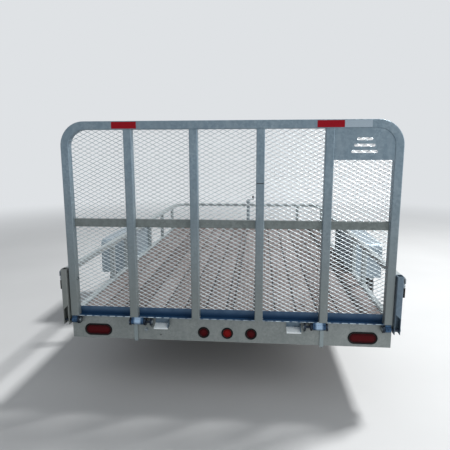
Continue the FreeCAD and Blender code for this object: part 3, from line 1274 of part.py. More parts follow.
make_channels()
make_beams()
make_cross_members()
make_deck()
make_rails()
make_rear_posts()
make_fenders()
make_tongue()
make_coupler()
make_jack()
make_suspension()
make_wheels()
make_gate()
make_mesh()
make_corner_plate()
make_hinges()
make_gate_rests()
make_latches()
make_lamps()
doc.recompute()

for thing in doc.Objects:
    if "Invalid" in thing.State or "Error" in thing.State:
        raise RuntimeError(f"{thing.Name}: {thing.State}")
for thing in subparts:
    if thing.Shape.isNull() or not thing.Shape.isValid():
        raise RuntimeError(f"{thing.Label}: bad shape")

os.makedirs("parts", exist_ok=True)
for thing in subparts:
    thing.Shape.exportStep(f"parts/{thing.Label}.step")
print(len(subparts), "sub-parts written")
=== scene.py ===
"""Looks of a hot-dip galvanised landscape trailer with a mesh ramp gate."""
import json
import math
import random

import bmesh
import bpy
from mathutils import Matrix, Vector


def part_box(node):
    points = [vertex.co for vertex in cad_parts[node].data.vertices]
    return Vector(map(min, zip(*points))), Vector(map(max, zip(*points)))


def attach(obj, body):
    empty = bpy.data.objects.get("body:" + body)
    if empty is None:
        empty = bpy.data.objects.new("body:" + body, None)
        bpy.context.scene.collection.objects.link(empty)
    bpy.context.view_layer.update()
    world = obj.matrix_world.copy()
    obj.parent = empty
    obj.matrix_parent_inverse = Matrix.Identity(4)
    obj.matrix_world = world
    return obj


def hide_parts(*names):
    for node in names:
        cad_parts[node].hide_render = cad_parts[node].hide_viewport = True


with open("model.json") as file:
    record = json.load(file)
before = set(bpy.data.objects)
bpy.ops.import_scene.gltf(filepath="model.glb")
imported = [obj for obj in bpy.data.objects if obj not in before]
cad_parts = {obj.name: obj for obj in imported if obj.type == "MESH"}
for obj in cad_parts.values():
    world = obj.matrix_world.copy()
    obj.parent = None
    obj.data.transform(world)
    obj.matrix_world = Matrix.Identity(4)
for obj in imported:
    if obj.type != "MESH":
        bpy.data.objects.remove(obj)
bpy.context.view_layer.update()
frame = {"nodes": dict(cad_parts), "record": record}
nodes = frame["nodes"]
chance = random.Random(7)
MM = 0.001
SIDES = (("left", -1), ("right", 1))

# Along the trailer: the channel's rear face, the axle, and how far the springs' ends lie from it.
REAR = -2.390
AXLE = REAR + 1.685
SPRING_END = 0.320

# The gate: its pins' height, its inner barrels' distance from the centreline, its uprights' middles.
PIN_HEIGHT, INNER_BARREL = 0.533, 0.576
UPRIGHTS = (-0.6, -0.2, 0.2, 0.6)

# Deck boards: seven each side of a narrow strip on the centreline.
PITCH, GAP, STRIP, COUNT = 142.1429 * MM, 4 * MM, 48 * MM, 14

# Expanded mesh: the diamond's pitches, the strand, the flat bond where two strands meet, and the
# strand's lean out of the sheet.
DIAMOND, ROW, STRAND, SHEET, BOND = 50.8 * MM, 12.6 * MM, 3.8 * MM, 2.0 * MM, 7 * MM
LEAN = math.radians(51)

# Lamps as x, z, half the width and half the height: two ovals, and three rounds 6 inches apart.
OVAL, ROUND = (92 * MM, 40 * MM), (38 * MM, 38 * MM)
LAMPS = (
    (-0.852, 0.458, *OVAL), (0.852, 0.458, *OVAL),
    (-0.1524, 0.460, *ROUND), (0.1524, 0.460, *ROUND), (0.0, 0.460, *ROUND),
)

# The backdrop's colour, which is the floor's too far off.
BACKDROP = "dfe2e5"


def colour(code):
    """An sRGB hex code as the linear colour that a shader takes."""
    def linear(value):
        return value / 12.92 if value <= 0.04045 else ((value + 0.055) / 1.055) ** 2.4
    return (*(linear(int(code[start:start + 2], 16) / 255) for start in (0, 2, 4)), 1.0)


def add(tree, kind, inputs=None, out=0, stops=(), **settings):
    """Adds a node with its settings, ramp stops, and inputs as plain values, hex colours or links."""
    node = tree.nodes.new(kind)
    for key, value in settings.items():
        setattr(node, key, value)
    if stops:
        elements = node.color_ramp.elements
        while len(elements) < len(stops):
            elements.new(1.0)
        for element, (position, shade) in zip(elements, stops):
            element.position = position
            element.color = colour(shade) if isinstance(shade, str) else (shade, shade, shade, 1.0)
    for key, value in (inputs or {}).items():
        if isinstance(value, bpy.types.NodeSocket):
            tree.links.new(value, node.inputs[key])
        else:
            node.inputs[key].default_value = colour(value) if isinstance(value, str) else value
    return node.outputs[out] if node.outputs else node


def blank(name):
    """A new material, its empty tree, and the place on the object in metres."""
    made = bpy.data.materials.new(name)
    made.use_nodes = True
    tree = made.node_tree
    tree.nodes.clear()
    return made, tree, add(tree, "ShaderNodeTexCoord", out="Object")


def galvanised_steel(name, light, dark, run, spangle=12 * MM, metallic=0.45, gloss=0.40, film=0.0):
    """Steel tube or sheet dipped in molten zinc: crystals a centimetre wide give faint patches,
    the slow drain leaves soft pale runs down upright faces, weather a chalky bloom, and the road a
    warm grey film that thins out upwards."""
    made, tree, place = blank(name)
    crystals = add(tree, "ShaderNodeTexVoronoi", {"Vector": place, "Scale": 1 / spangle}, out="Color")
    patch = add(tree, "ShaderNodeSeparateColor", {"Color": crystals})
    base = add(tree, "ShaderNodeValToRGB", {"Fac": patch}, stops=((0.1, dark), (0.9, light)))
    # zinc bloom: clouds about 150 mm across
    cloud = add(tree, "ShaderNodeTexNoise", {
        "Vector": place, "Scale": 1 / (150 * MM), "Detail": 5.0, "Roughness": 0.62,
    })
    amount = add(tree, "ShaderNodeValToRGB", {"Fac": cloud}, stops=((0.36, 0.0), (0.7, 0.8)))
    base = add(tree, "ShaderNodeMix", {"Factor": amount, 6: base, 7: dark}, out=2, data_type="RGBA")
    # drain runs: 30 mm wide and about 120 mm long
    long = add(tree, "ShaderNodeMapping", {"Vector": place, "Scale": (1.0, 1.0, 0.25)})
    runs = add(tree, "ShaderNodeTexNoise", {"Vector": long, "Scale": 1 / (30 * MM), "Detail": 3.0})
    amount = add(tree, "ShaderNodeValToRGB", {"Fac": runs}, stops=((0.42, 0.0), (0.75, 0.3)))
    base = add(tree, "ShaderNodeMix", {"Factor": amount, 6: base, 7: run}, out=2, data_type="RGBA")
    # road film: thickest below 0.7 m, gone at 1.5 m
    height = add(tree, "ShaderNodeSeparateXYZ", {"Vector": place}, out="Z")
    amount = add(tree, "ShaderNodeMapRange", {
        "Value": height, "From Min": 0.7, "From Max": 1.5, "To Min": film, "To Max": 0.0,
    })
    base = add(tree, "ShaderNodeMix", {"Factor": amount, 6: base, 7: "7f827c"}, out=2, data_type="RGBA")
    # pits and road specks: real ones are under 1 mm, drawn at 4 mm so that they show
    speck = add(tree, "ShaderNodeTexNoise", {"Vector": place, "Scale": 1 / (4 * MM), "Detail": 2.0})
    amount = add(tree, "ShaderNodeValToRGB", {"Fac": speck}, stops=((0.6, 0.0), (0.72, 0.3)))
    base = add(tree, "ShaderNodeMix", {"Factor": amount, 6: base, 7: "6b7478"}, out=2, data_type="RGBA")
    rough = add(tree, "ShaderNodeMapRange", {
        "Value": patch, "To Min": gloss - 0.05, "To Max": gloss + 0.12,
    })
    wave = add(tree, "ShaderNodeTexNoise", {"Vector": place, "Scale": 1 / (18 * MM), "Detail": 3.0})
    ripple = add(tree, "ShaderNodeMix", {"Factor": 0.4, 6: wave, 7: speck}, out=2, data_type="RGBA")
    normal = add(tree, "ShaderNodeBump", {"Height": ripple, "Distance": 0.35 * MM})
    shader = add(tree, "ShaderNodeBsdfPrincipled", {
        "Base Color": base, "Metallic": metallic, "Roughness": rough, "Normal": normal,
    })
    add(tree, "ShaderNodeOutputMaterial", {"Surface": shader})
    return made


def zinc_plated_steel():
    """Forged and pressed steel with thin electroplated zinc: smoother and bluer than a dipped
    coat, rubbed bright on the high spots and dull in the hollows."""
    made, tree, place = blank("electroplated_zinc_steel")
    wear = add(tree, "ShaderNodeTexNoise", {"Vector": place, "Scale": 1 / (20 * MM), "Detail": 5.0})
    base = add(tree, "ShaderNodeValToRGB", {"Fac": wear},
               stops=((0.3, "7c868d"), (0.55, "949ea4"), (0.75, "a6b0b5")))
    rough = add(tree, "ShaderNodeValToRGB", {"Fac": wear}, stops=((0.3, 0.42), (0.7, 0.28)))
    # hammer scale of the forging: 3 mm
    scale = add(tree, "ShaderNodeTexNoise", {"Vector": place, "Scale": 1 / (3 * MM), "Detail": 2.0})
    normal = add(tree, "ShaderNodeBump", {"Height": scale, "Distance": 0.1 * MM})
    shader = add(tree, "ShaderNodeBsdfPrincipled", {
        "Base Color": base, "Metallic": 0.8, "Roughness": rough, "Normal": normal,
    })
    add(tree, "ShaderNodeOutputMaterial", {"Surface": shader})
    return made


def lower_bar_steel():
    """Angle bar dipped in zinc and coloured with painted shade: slate blue above, and a deeper blue, a
    painted sky reflection, on its lower part. Its rear edge, which lies on the ground when the gate is
    down, carries
    painted light: bright dashes as long as a mesh diamond, which paint sunlight falling through the
    mesh."""
    made, tree, place = blank("galvanised_angle_painted_shade_and_light")
    cloud = add(tree, "ShaderNodeTexNoise", {"Vector": place, "Scale": 1 / (60 * MM), "Detail": 5.0})
    base = add(tree, "ShaderNodeValToRGB", {"Fac": cloud}, stops=((0.35, "35506d"), (0.7, "4a6580")))
    across = add(tree, "ShaderNodeSeparateXYZ", {"Vector": place}).node
    # painted reflection: the lower part, under 0.59 m, is a deeper blue, the sky's blue seen in shade
    amount = add(tree, "ShaderNodeMapRange", {
        "Value": across.outputs["Z"], "From Min": 0.6, "From Max": 0.578,
    })
    base = add(tree, "ShaderNodeMix", {"Factor": amount, 6: base, 7: "1f4467"}, out=2, data_type="RGBA")
    # painted light: bright dashes of sunlight through the mesh, only on the rearmost 2 mm, one to a
    # mesh diamond, and patchy
    back = add(tree, "ShaderNodeMapRange", {
        "Value": across.outputs["Y"], "From Min": REAR - 30 * MM, "From Max": REAR - 32 * MM,
    })
    dash = add(tree, "ShaderNodeMath", {0: across.outputs["X"], 1: DIAMOND}, operation="DIVIDE")
    dash = add(tree, "ShaderNodeMath", {0: dash}, operation="FRACT")
    dash = add(tree, "ShaderNodeValToRGB", {"Fac": dash},
               stops=((0.0, 0.15), (0.08, 1.0), (0.68, 1.0), (0.76, 0.15)))
    amount = add(tree, "ShaderNodeMath", {0: back, 1: dash}, operation="MULTIPLY")
    patchy = add(tree, "ShaderNodeValToRGB", {"Fac": cloud}, stops=((0.38, 0.35), (0.6, 1.0)))
    amount = add(tree, "ShaderNodeMath", {0: amount, 1: patchy}, operation="MULTIPLY")
    base = add(tree, "ShaderNodeMix", {"Factor": amount, 6: base, 7: "cfe0e8"}, out=2, data_type="RGBA")
    rough = add(tree, "ShaderNodeMapRange", {"Value": cloud, "To Min": 0.3, "To Max": 0.5})
    grit = add(tree, "ShaderNodeTexNoise", {"Vector": place, "Scale": 1 / (5 * MM), "Detail": 3.0})
    normal = add(tree, "ShaderNodeBump", {"Height": grit, "Distance": 0.3 * MM})
    shader = add(tree, "ShaderNodeBsdfPrincipled", {
        "Base Color": base, "Metallic": 0.4, "Roughness": rough, "Normal": normal,
    })
    add(tree, "ShaderNodeOutputMaterial", {"Surface": shader})
    return made


def hinge_steel():
    """Forged hinge steel under a thin blue-black zinc: smooth, dark, and bright only where it
    catches a lamp, with the black worn through in small patches and none on the straps' feet."""
    made, tree, place = blank("forged_blue_black_hinge_steel")
    wear = add(tree, "ShaderNodeTexNoise", {"Vector": place, "Scale": 1 / (16 * MM), "Detail": 5.0})
    base = add(tree, "ShaderNodeValToRGB", {"Fac": wear},
               stops=((0.35, "1c2431"), (0.6, "2b3646"), (0.78, "6d7a88")))
    # the straps under the lugs are left grey: all that is below 0.5 m
    height = add(tree, "ShaderNodeSeparateXYZ", {"Vector": place}, out="Z")
    amount = add(tree, "ShaderNodeMapRange", {"Value": height, "From Min": 0.508, "From Max": 0.498})
    base = add(tree, "ShaderNodeMix", {"Factor": amount, 6: base, 7: "8e9a9d"}, out=2, data_type="RGBA")
    rough = add(tree, "ShaderNodeValToRGB", {"Fac": wear}, stops=((0.3, 0.4), (0.7, 0.28)))
    # forging scale: 4 mm
    scale = add(tree, "ShaderNodeTexNoise", {"Vector": place, "Scale": 1 / (4 * MM), "Detail": 2.0})
    normal = add(tree, "ShaderNodeBump", {"Height": scale, "Distance": 0.12 * MM})
    shader = add(tree, "ShaderNodeBsdfPrincipled", {
        "Base Color": base, "Metallic": 0.7, "Roughness": rough, "Normal": normal,
    })
    add(tree, "ShaderNodeOutputMaterial", {"Surface": shader})
    return made


def turned_barrel_steel():
    """Bored hinge barrels under blue zinc: dark at their ends, and the inner ones with a painted
    highlight round their middle."""
    made, tree, place = blank("turned_hinge_barrel")
    wear = add(tree, "ShaderNodeTexNoise", {"Vector": place, "Scale": 1 / (14 * MM), "Detail": 4.0})
    base = add(tree, "ShaderNodeValToRGB", {"Fac": wear}, stops=((0.35, "27405c"), (0.7, "43607f")))
    # painted highlight: bright within 14 mm of an inner barrel's middle, dark from 26 mm on
    across = add(tree, "ShaderNodeSeparateXYZ", {"Vector": place}, out="X")
    across = add(tree, "ShaderNodeMath", {0: across}, operation="ABSOLUTE")
    away = add(tree, "ShaderNodeMath", {0: across, 1: INNER_BARREL}, operation="SUBTRACT")
    away = add(tree, "ShaderNodeMath", {0: away}, operation="ABSOLUTE")
    amount = add(tree, "ShaderNodeMapRange", {"Value": away, "From Min": 26 * MM, "From Max": 14 * MM})
    base = add(tree, "ShaderNodeMix", {"Factor": amount, 6: base, 7: "9fb9d3"}, out=2, data_type="RGBA")
    rough = add(tree, "ShaderNodeMapRange", {"Value": wear, "To Min": 0.22, "To Max": 0.36})
    # turning marks: 2 mm
    marks = add(tree, "ShaderNodeTexNoise", {"Vector": place, "Scale": 1 / (2 * MM), "Detail": 2.0})
    normal = add(tree, "ShaderNodeBump", {"Height": marks, "Distance": 0.08 * MM})
    shader = add(tree, "ShaderNodeBsdfPrincipled", {
        "Base Color": base, "Metallic": 0.8, "Roughness": rough, "Normal": normal,
    })
    add(tree, "ShaderNodeOutputMaterial", {"Surface": shader})
    return made


def treated_pine():
    """Sawn pressure-treated pine gone grey outdoors: long grain and growth rings along each
    board, dark knots, stains where water stands, and a tone of its own for every board."""
    made, tree, place = blank("weathered_treated_pine")
    across = add(tree, "ShaderNodeSeparateXYZ", {"Vector": place}, out="X")
    # the board's number from the centreline: the strip is 0
    reach = add(tree, "ShaderNodeMath", {0: across}, operation="ABSOLUTE")
    reach = add(tree, "ShaderNodeMath", {0: reach, 1: (STRIP + GAP) / 2}, operation="SUBTRACT")
    pitches = add(tree, "ShaderNodeMath", {0: reach, 1: PITCH}, operation="DIVIDE")
    number = add(tree, "ShaderNodeMath", {0: pitches}, operation="FLOOR")
    number = add(tree, "ShaderNodeMath", {0: number, 1: 1.0}, operation="ADD")
    hand = add(tree, "ShaderNodeMath", {0: across}, operation="SIGN")
    number = add(tree, "ShaderNodeMath", {0: number, 1: hand}, operation="MULTIPLY")
    seed = add(tree, "ShaderNodeTexWhiteNoise", {"W": number}, out="Color", noise_dimensions="1D")
    shift = add(tree, "ShaderNodeVectorMath", {0: seed, 1: (3.0, 9.0, 2.0)}, operation="MULTIPLY")
    own = add(tree, "ShaderNodeVectorMath", {0: place, 1: shift}, operation="ADD")
    # growth rings: bands about 20 mm apart that wander along the board
    along = add(tree, "ShaderNodeMapping", {"Vector": own, "Scale": (1.0, 0.06, 1.0)})
    rings = add(tree, "ShaderNodeTexWave", {
        "Vector": along, "Scale": 1 / (62 * MM), "Distortion": 4.0, "Detail": 3.0, "Detail Scale": 1.4,
        "Detail Roughness": 0.6,
    }, wave_type="BANDS", bands_direction="X")
    base = add(tree, "ShaderNodeValToRGB", {"Fac": rings},
               stops=((0.0, "675d5a"), (0.45, "7d7471"), (1.0, "8d8582")))
    # open grain: real fibres are under 1 mm, drawn 5 mm wide and 150 mm long so that they show
    thread = add(tree, "ShaderNodeMapping", {"Vector": own, "Scale": (1.0, 0.033, 1.0)})
    fibre = add(tree, "ShaderNodeTexNoise", {
        "Vector": thread, "Scale": 1 / (5 * MM), "Detail": 4.0, "Roughness": 0.65,
    })
    amount = add(tree, "ShaderNodeValToRGB", {"Fac": fibre}, stops=((0.35, 0.65), (0.6, 0.0)))
    base = add(tree, "ShaderNodeMix", {"Factor": amount, 6: base, 7: "4a4240"}, out=2, data_type="RGBA")
    # water stains: patches about 350 mm across
    stain = add(tree, "ShaderNodeMapping", {"Vector": own, "Scale": (1.0, 0.35, 1.0)})
    damp = add(tree, "ShaderNodeTexNoise", {"Vector": stain, "Scale": 1 / (350 * MM), "Detail": 4.0})
    amount = add(tree, "ShaderNodeValToRGB", {"Fac": damp}, stops=((0.42, 0.0), (0.7, 0.6)))
    base = add(tree, "ShaderNodeMix", {"Factor": amount, 6: base, 7: "989291"}, out=2, data_type="RGBA")
    # knots: about one to a 300 mm cell, 25 mm across
    spread = add(tree, "ShaderNodeMapping", {"Vector": own, "Scale": (1.0, 0.45, 1.0)})
    knots = add(tree, "ShaderNodeTexVoronoi", {"Vector": spread, "Scale": 1 / (300 * MM)})
    amount = add(tree, "ShaderNodeValToRGB", {"Fac": knots},
                 stops=((0.0, 0.85), (0.05, 0.7), (0.085, 0.0)))
    base = add(tree, "ShaderNodeMix", {"Factor": amount, 6: base, 7: "3d2f28"}, out=2, data_type="RGBA")
    # painted shade along the edges: about 8 mm on each side of a gap, so the gaps read dark
    within = add(tree, "ShaderNodeMath", {0: pitches}, operation="FRACT")
    amount = add(tree, "ShaderNodeValToRGB", {"Fac": within},
                 stops=((0.0, 0.9), (0.05, 0.0), (0.915, 0.0), (0.965, 0.9)))
    base = add(tree, "ShaderNodeMix", {"Factor": amount, 6: base, 7: "3b3434"}, out=2, data_type="RGBA")
    # the board's own tone
    tone = add(tree, "ShaderNodeSeparateColor", {"Color": seed}, out="Green")
    tone = add(tree, "ShaderNodeValToRGB", {"Fac": tone}, stops=((0.0, "b9b2b1"), (1.0, "ffffff")))
    base = add(tree, "ShaderNodeMix", {"Factor": 1.0, 6: base, 7: tone}, out=2,
               data_type="RGBA", blend_type="MULTIPLY")
    relief = add(tree, "ShaderNodeMix", {"Factor": 0.4, 6: fibre, 7: rings}, out=2, data_type="RGBA")
    normal = add(tree, "ShaderNodeBump", {"Height": relief, "Distance": 1.2 * MM})
    shader = add(tree, "ShaderNodeBsdfPrincipled", {
        "Base Color": base, "Roughness": 0.85, "Specular IOR Level": 0.3, "Normal": normal,
    })
    add(tree, "ShaderNodeOutputMaterial", {"Surface": shader})
    return made


def tyre_rubber():
    """Vulcanised tyre rubber: a dull near-black with road dust in its low places."""
    made, tree, place = blank("vulcanised_tyre_rubber")
    dust = add(tree, "ShaderNodeTexNoise", {"Vector": place, "Scale": 1 / (80 * MM), "Detail": 6.0})
    base = add(tree, "ShaderNodeValToRGB", {"Fac": dust},
               stops=((0.4, "1b1c1d"), (0.62, "2c2b2a"), (0.85, "47433e")))
    grain = add(tree, "ShaderNodeTexNoise", {"Vector": place, "Scale": 1 / (3 * MM), "Detail": 3.0})
    normal = add(tree, "ShaderNodeBump", {"Height": grain, "Distance": 0.25 * MM})
    shader = add(tree, "ShaderNodeBsdfPrincipled", {
        "Base Color": base, "Roughness": 0.75, "Normal": normal,
    })
    add(tree, "ShaderNodeOutputMaterial", {"Surface": shader})
    return made


def moulded_pvc():
    """Soft black vinyl, moulded: an even satin black with a fine eggshell grain, a little
    polished where it is handled."""
    made, tree, place = blank("moulded_black_vinyl")
    wear = add(tree, "ShaderNodeTexNoise", {"Vector": place, "Scale": 1 / (25 * MM), "Detail": 4.0})
    base = add(tree, "ShaderNodeValToRGB", {"Fac": wear}, stops=((0.35, "0b0c0e"), (0.8, "1f1f20")))
    rough = add(tree, "ShaderNodeMapRange", {"Value": wear, "To Min": 0.62, "To Max": 0.45})
    # eggshell grain: real pits are 0.3 mm, drawn at 1.5 mm so that they show
    grain = add(tree, "ShaderNodeTexNoise", {"Vector": place, "Scale": 1 / (1.5 * MM), "Detail": 2.0})
    normal = add(tree, "ShaderNodeBump", {"Height": grain, "Distance": 0.15 * MM})
    shader = add(tree, "ShaderNodeBsdfPrincipled", {
        "Base Color": base, "Roughness": rough, "Specular IOR Level": 0.2, "Normal": normal,
    })
    add(tree, "ShaderNodeOutputMaterial", {"Surface": shader})
    return made


def red_acrylic(name, light, dark):
    """Injection-moulded red acrylic over a dark housing: a wet gloss outside, and a grid of
    5 mm prisms behind it that break the red into lighter and darker squares."""
    made, tree, place = blank(name)
    prisms = add(tree, "ShaderNodeTexVoronoi", {
        "Vector": place, "Scale": 1 / (5 * MM), "Randomness": 0.0,
    }, distance="CHEBYCHEV")
    base = add(tree, "ShaderNodeValToRGB", {"Fac": prisms}, stops=((0.1, light), (0.5, dark)))
    normal = add(tree, "ShaderNodeBump", {"Height": prisms, "Distance": 0.3 * MM})
    shader = add(tree, "ShaderNodeBsdfPrincipled", {
        "Base Color": base, "Roughness": 0.14, "IOR": 1.49, "Specular IOR Level": 0.1, "Normal": normal,
    })
    add(tree, "ShaderNodeOutputMaterial", {"Surface": shader})
    return made


def reflective_vinyl(name, light, dark):
    """Retroreflective vinyl film: flat, with sealed 6 mm cells that show as a fine net."""
    made, tree, place = blank(name)
    edge = add(tree, "ShaderNodeTexVoronoi", {
        "Vector": place, "Scale": 1 / (6 * MM), "Randomness": 0.15,
    }, feature="DISTANCE_TO_EDGE")
    base = add(tree, "ShaderNodeValToRGB", {"Fac": edge}, stops=((0.02, dark), (0.1, light)))
    normal = add(tree, "ShaderNodeBump", {"Height": edge, "Distance": 0.05 * MM})
    shader = add(tree, "ShaderNodeBsdfPrincipled", {
        "Base Color": base, "Roughness": 0.4, "Specular IOR Level": 0.15, "Normal": normal,
    })
    add(tree, "ShaderNodeOutputMaterial", {"Surface": shader})
    return made


def black_enamel():
    """Baked enamel on spring steel: black, half dulled by grey road dust."""
    made, tree, place = blank("baked_black_enamel")
    dust = add(tree, "ShaderNodeTexNoise", {"Vector": place, "Scale": 1 / (50 * MM), "Detail": 5.0})
    base = add(tree, "ShaderNodeValToRGB", {"Fac": dust}, stops=((0.4, "1a1b1d"), (0.75, "3a3835")))
    rough = add(tree, "ShaderNodeMapRange", {"Value": dust, "To Min": 0.35, "To Max": 0.75})
    peel = add(tree, "ShaderNodeTexNoise", {"Vector": place, "Scale": 1 / (6 * MM), "Detail": 2.0})
    normal = add(tree, "ShaderNodeBump", {"Height": peel, "Distance": 0.2 * MM})
    shader = add(tree, "ShaderNodeBsdfPrincipled", {
        "Base Color": base, "Roughness": rough, "Normal": normal,
    })
    add(tree, "ShaderNodeOutputMaterial", {"Surface": shader})
    return made


def silver_enamel():
    """Pressed wheels sprayed with silver enamel: fine bright flake under a smooth gloss, with
    brake and road dust lying in broad soft patches."""
    made, tree, place = blank("sprayed_silver_enamel")
    # flake: real ones are 0.05 mm, drawn at 1 mm so that they show
    flake = add(tree, "ShaderNodeTexVoronoi", {"Vector": place, "Scale": 1 / MM}, out="Color")
    spark = add(tree, "ShaderNodeSeparateColor", {"Color": flake})
    base = add(tree, "ShaderNodeValToRGB", {"Fac": spark}, stops=((0.0, "a5aaae"), (1.0, "bdc2c5")))
    dust = add(tree, "ShaderNodeTexNoise", {"Vector": place, "Scale": 1 / (60 * MM), "Detail": 5.0})
    amount = add(tree, "ShaderNodeValToRGB", {"Fac": dust}, stops=((0.5, 0.0), (0.8, 0.5)))
    base = add(tree, "ShaderNodeMix", {"Factor": amount, 6: base, 7: "7b7670"}, out=2, data_type="RGBA")
    rough = add(tree, "ShaderNodeMapRange", {"Value": dust, "To Min": 0.25, "To Max": 0.5})
    normal = add(tree, "ShaderNodeBump", {"Height": dust, "Distance": 0.1 * MM})
    shader = add(tree, "ShaderNodeBsdfPrincipled", {
        "Base Color": base, "Metallic": 0.5, "Roughness": rough, "Normal": normal,
    })
    add(tree, "ShaderNodeOutputMaterial", {"Surface": shader})
    return made


frame_zinc = galvanised_steel("galvanised_frame_tube", "a2a9aa", "8f9798", "bcc4c6")
# painted shade: the gate's tube is a darker, bluer zinc than the frame's, the sky's blue on faces in
# shade; its road film is real dirt
gate_zinc = galvanised_steel("galvanised_gate_tube", "889ba7", "748794", "9fadb6", film=0.7)
# painted shade: the middle bar is a darker grey than the gate's tube, the shade of its recess
mid_zinc = galvanised_steel("galvanised_middle_bar", "7f8786", "6b7372", "8d9594")
# painted shade: the right latch post and the rests' back plates take a darker, bluer zinc
shaded_post_zinc = galvanised_steel("galvanised_latch_post", "6f818f", "5c6e7d", "7f8f9b")
dusty_zinc = galvanised_steel("dusty_galvanised_latch_post", "8f9698", "7b8386", "a2a6a5", film=0.6)
# painted light: the rests' shelves are near white, as if sunlit
sunlit_rest_zinc = galvanised_steel("painted_sunlit_rest", "f4fafb", "e8f1f4", "f6fafb", metallic=0.0)
low_zinc_painted_shade_and_light = lower_bar_steel()
barrel_zinc = turned_barrel_steel()
channel_zinc = galvanised_steel("galvanised_rolled_channel", "939998", "828988", "9fa4a3")
# painted light: the mesh is given near-white zinc, brighter than the frame, as if its strands were
# sunlit
sunlit_mesh_zinc = galvanised_steel("galvanised_expanded_mesh", "ccd6da", "b6c1c6", "d2dadd", metallic=0.3)
sheet_zinc = galvanised_steel("galvanised_fender_sheet", "98a6af", "84939e", "b4bec3",
                              spangle=18 * MM, gloss=0.34)
plated = zinc_plated_steel()
hinge_black = hinge_steel()
pine = treated_pine()
tyre = tyre_rubber()
vinyl = moulded_pvc()
lens_red = red_acrylic("moulded_red_acrylic", "6e0811", "290208")
lens_bright = red_acrylic("moulded_bright_red_acrylic", "ab1614", "560908")
tape_red = reflective_vinyl("red_reflective_vinyl", "a40f20", "740a16")
# painted shade: the white film is given a grey-blue
tape_white = reflective_vinyl("white_reflective_vinyl", "b3c2cd", "92a3b1")
enamel = black_enamel()
wheel_silver = silver_enamel()

FINISH_OF_SLOT = {
    "galvanised_steel": frame_zinc, "gate_steel": gate_zinc, "mesh_steel": sunlit_mesh_zinc,
    "zinc_plated_steel": plated, "spring_steel": enamel, "treated_pine": pine,
    "grip_rubber": vinyl, "red_lens": lens_red, "tyre_rubber": tyre,
}
FINISH_OF_NODE = {
    "fender_left": sheet_zinc, "fender_right": sheet_zinc, "rear_channel": channel_zinc,
    "rim_left": wheel_silver, "rim_right": wheel_silver, "gate_mid_bar": mid_zinc,
    "gate_bottom_bar": low_zinc_painted_shade_and_light, "hinge_lugs": hinge_black, "hinge_pins": hinge_black,
    "gate_barrels": barrel_zinc, "rear_post_left": dusty_zinc, "rear_post_right": shaded_post_zinc,
}
for part in frame["record"]["subparts"]:
    finish = FINISH_OF_NODE.get(part["node"], FINISH_OF_SLOT[part["material_slot"]])
    slots = nodes[part["node"]].data.materials
    slots.clear()
    slots.append(finish)


def placed(name, shape, finish):
    """Turns the finished shape into an object in the scene."""
    mesh = bpy.data.meshes.new(name)
    shape.to_mesh(mesh)
    shape.free()
    mesh.materials.append(finish)
    made = bpy.data.objects.new(name, mesh)
    bpy.context.collection.objects.link(made)
    return made


def piece(name, shape, finish, body, smooth=35):
    """Turns the finished shape into a piece that rides on its body."""
    bmesh.ops.recalc_face_normals(shape, faces=shape.faces)
    made = placed(name, shape, finish)
    made.data.shade_smooth()
    made.data.set_sharp_from_angle(angle=math.radians(smooth))
    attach(made, body)
    return made


def metres(points):
    """Pairs of millimetres as metres."""
    return [(along * MM, radius * MM) for along, radius in points]


def loft(shape, rings, closed=True, ends=True, join=False):
    """Skins rings of points with the same count, and caps its ends or joins the last to the first."""
    rows = [[shape.verts.new(point) for point in ring] for ring in rings]
    count = len(rows[0])
    for low, high in zip(rows, rows[1:] + rows[:1] if join else rows[1:]):
        for start in range(count if closed else count - 1):
            step = (start + 1) % count
            shape.faces.new((low[start], low[step], high[step], high[start]))
    if ends and not join:
        shape.faces.new(rows[0][::-1])
        shape.faces.new(rows[-1])


def spin(shape, start, axis, profile, count, turn=0.0):
    """Lofts (along, radius) points about an axis from its start: six sides make a nut, more a disc."""
    axis = Vector(axis).normalized()
    side = axis.orthogonal().normalized()
    other = axis.cross(side)
    angles = [turn + math.tau * step / count for step in range(count)]
    loft(shape, [[Vector(start) + axis * along + radius * (math.cos(a) * side + math.sin(a) * other)
                  for a in angles] for along, radius in profile])


def nut(shape, start, axis, radius, height):
    """A chamfered hexagon on a washer."""
    washer, overhang, ease = 2 * MM, 1.3, 1.2 * MM
    spin(shape, start, axis, ((0, radius * overhang), (washer, radius * overhang)), 24)
    spin(shape, Vector(start) + Vector(axis).normalized() * washer, axis,
         ((0, radius), (height - ease, radius), (height, radius - ease)), 6)


def slab(shape, low, high, edge=0.0):
    """A box from its low to its high corner, its edges rounded off by the width given."""
    middle = [(a + b) / 2 for a, b in zip(low, high)]
    size = [b - a for a, b in zip(low, high)]
    place = Matrix.Translation(middle) @ Matrix.Diagonal((*size, 1.0))
    made = bmesh.ops.create_cube(shape, size=1.0, matrix=place)
    if edge:
        edges = {each for vert in made["verts"] for each in vert.link_edges}
        bmesh.ops.bevel(shape, geom=list(edges), offset=edge, segments=2, profile=0.5, affect="EDGES")


def lathe(shape, profile, centre, steps, dip=None):
    """Turns (along, radius) points about an axis along x; dip lowers a point's radius by its step."""
    rings = []
    for step in range(steps):
        angle = math.tau * step / steps
        ring = []
        for index, (along, radius) in enumerate(profile):
            reach = radius - (dip(index, step) if dip else 0.0)
            ring.append((centre[0] + along, centre[1] + reach * math.cos(angle),
                         centre[2] + reach * math.sin(angle)))
        rings.append(ring)
    loft(shape, rings, join=True)


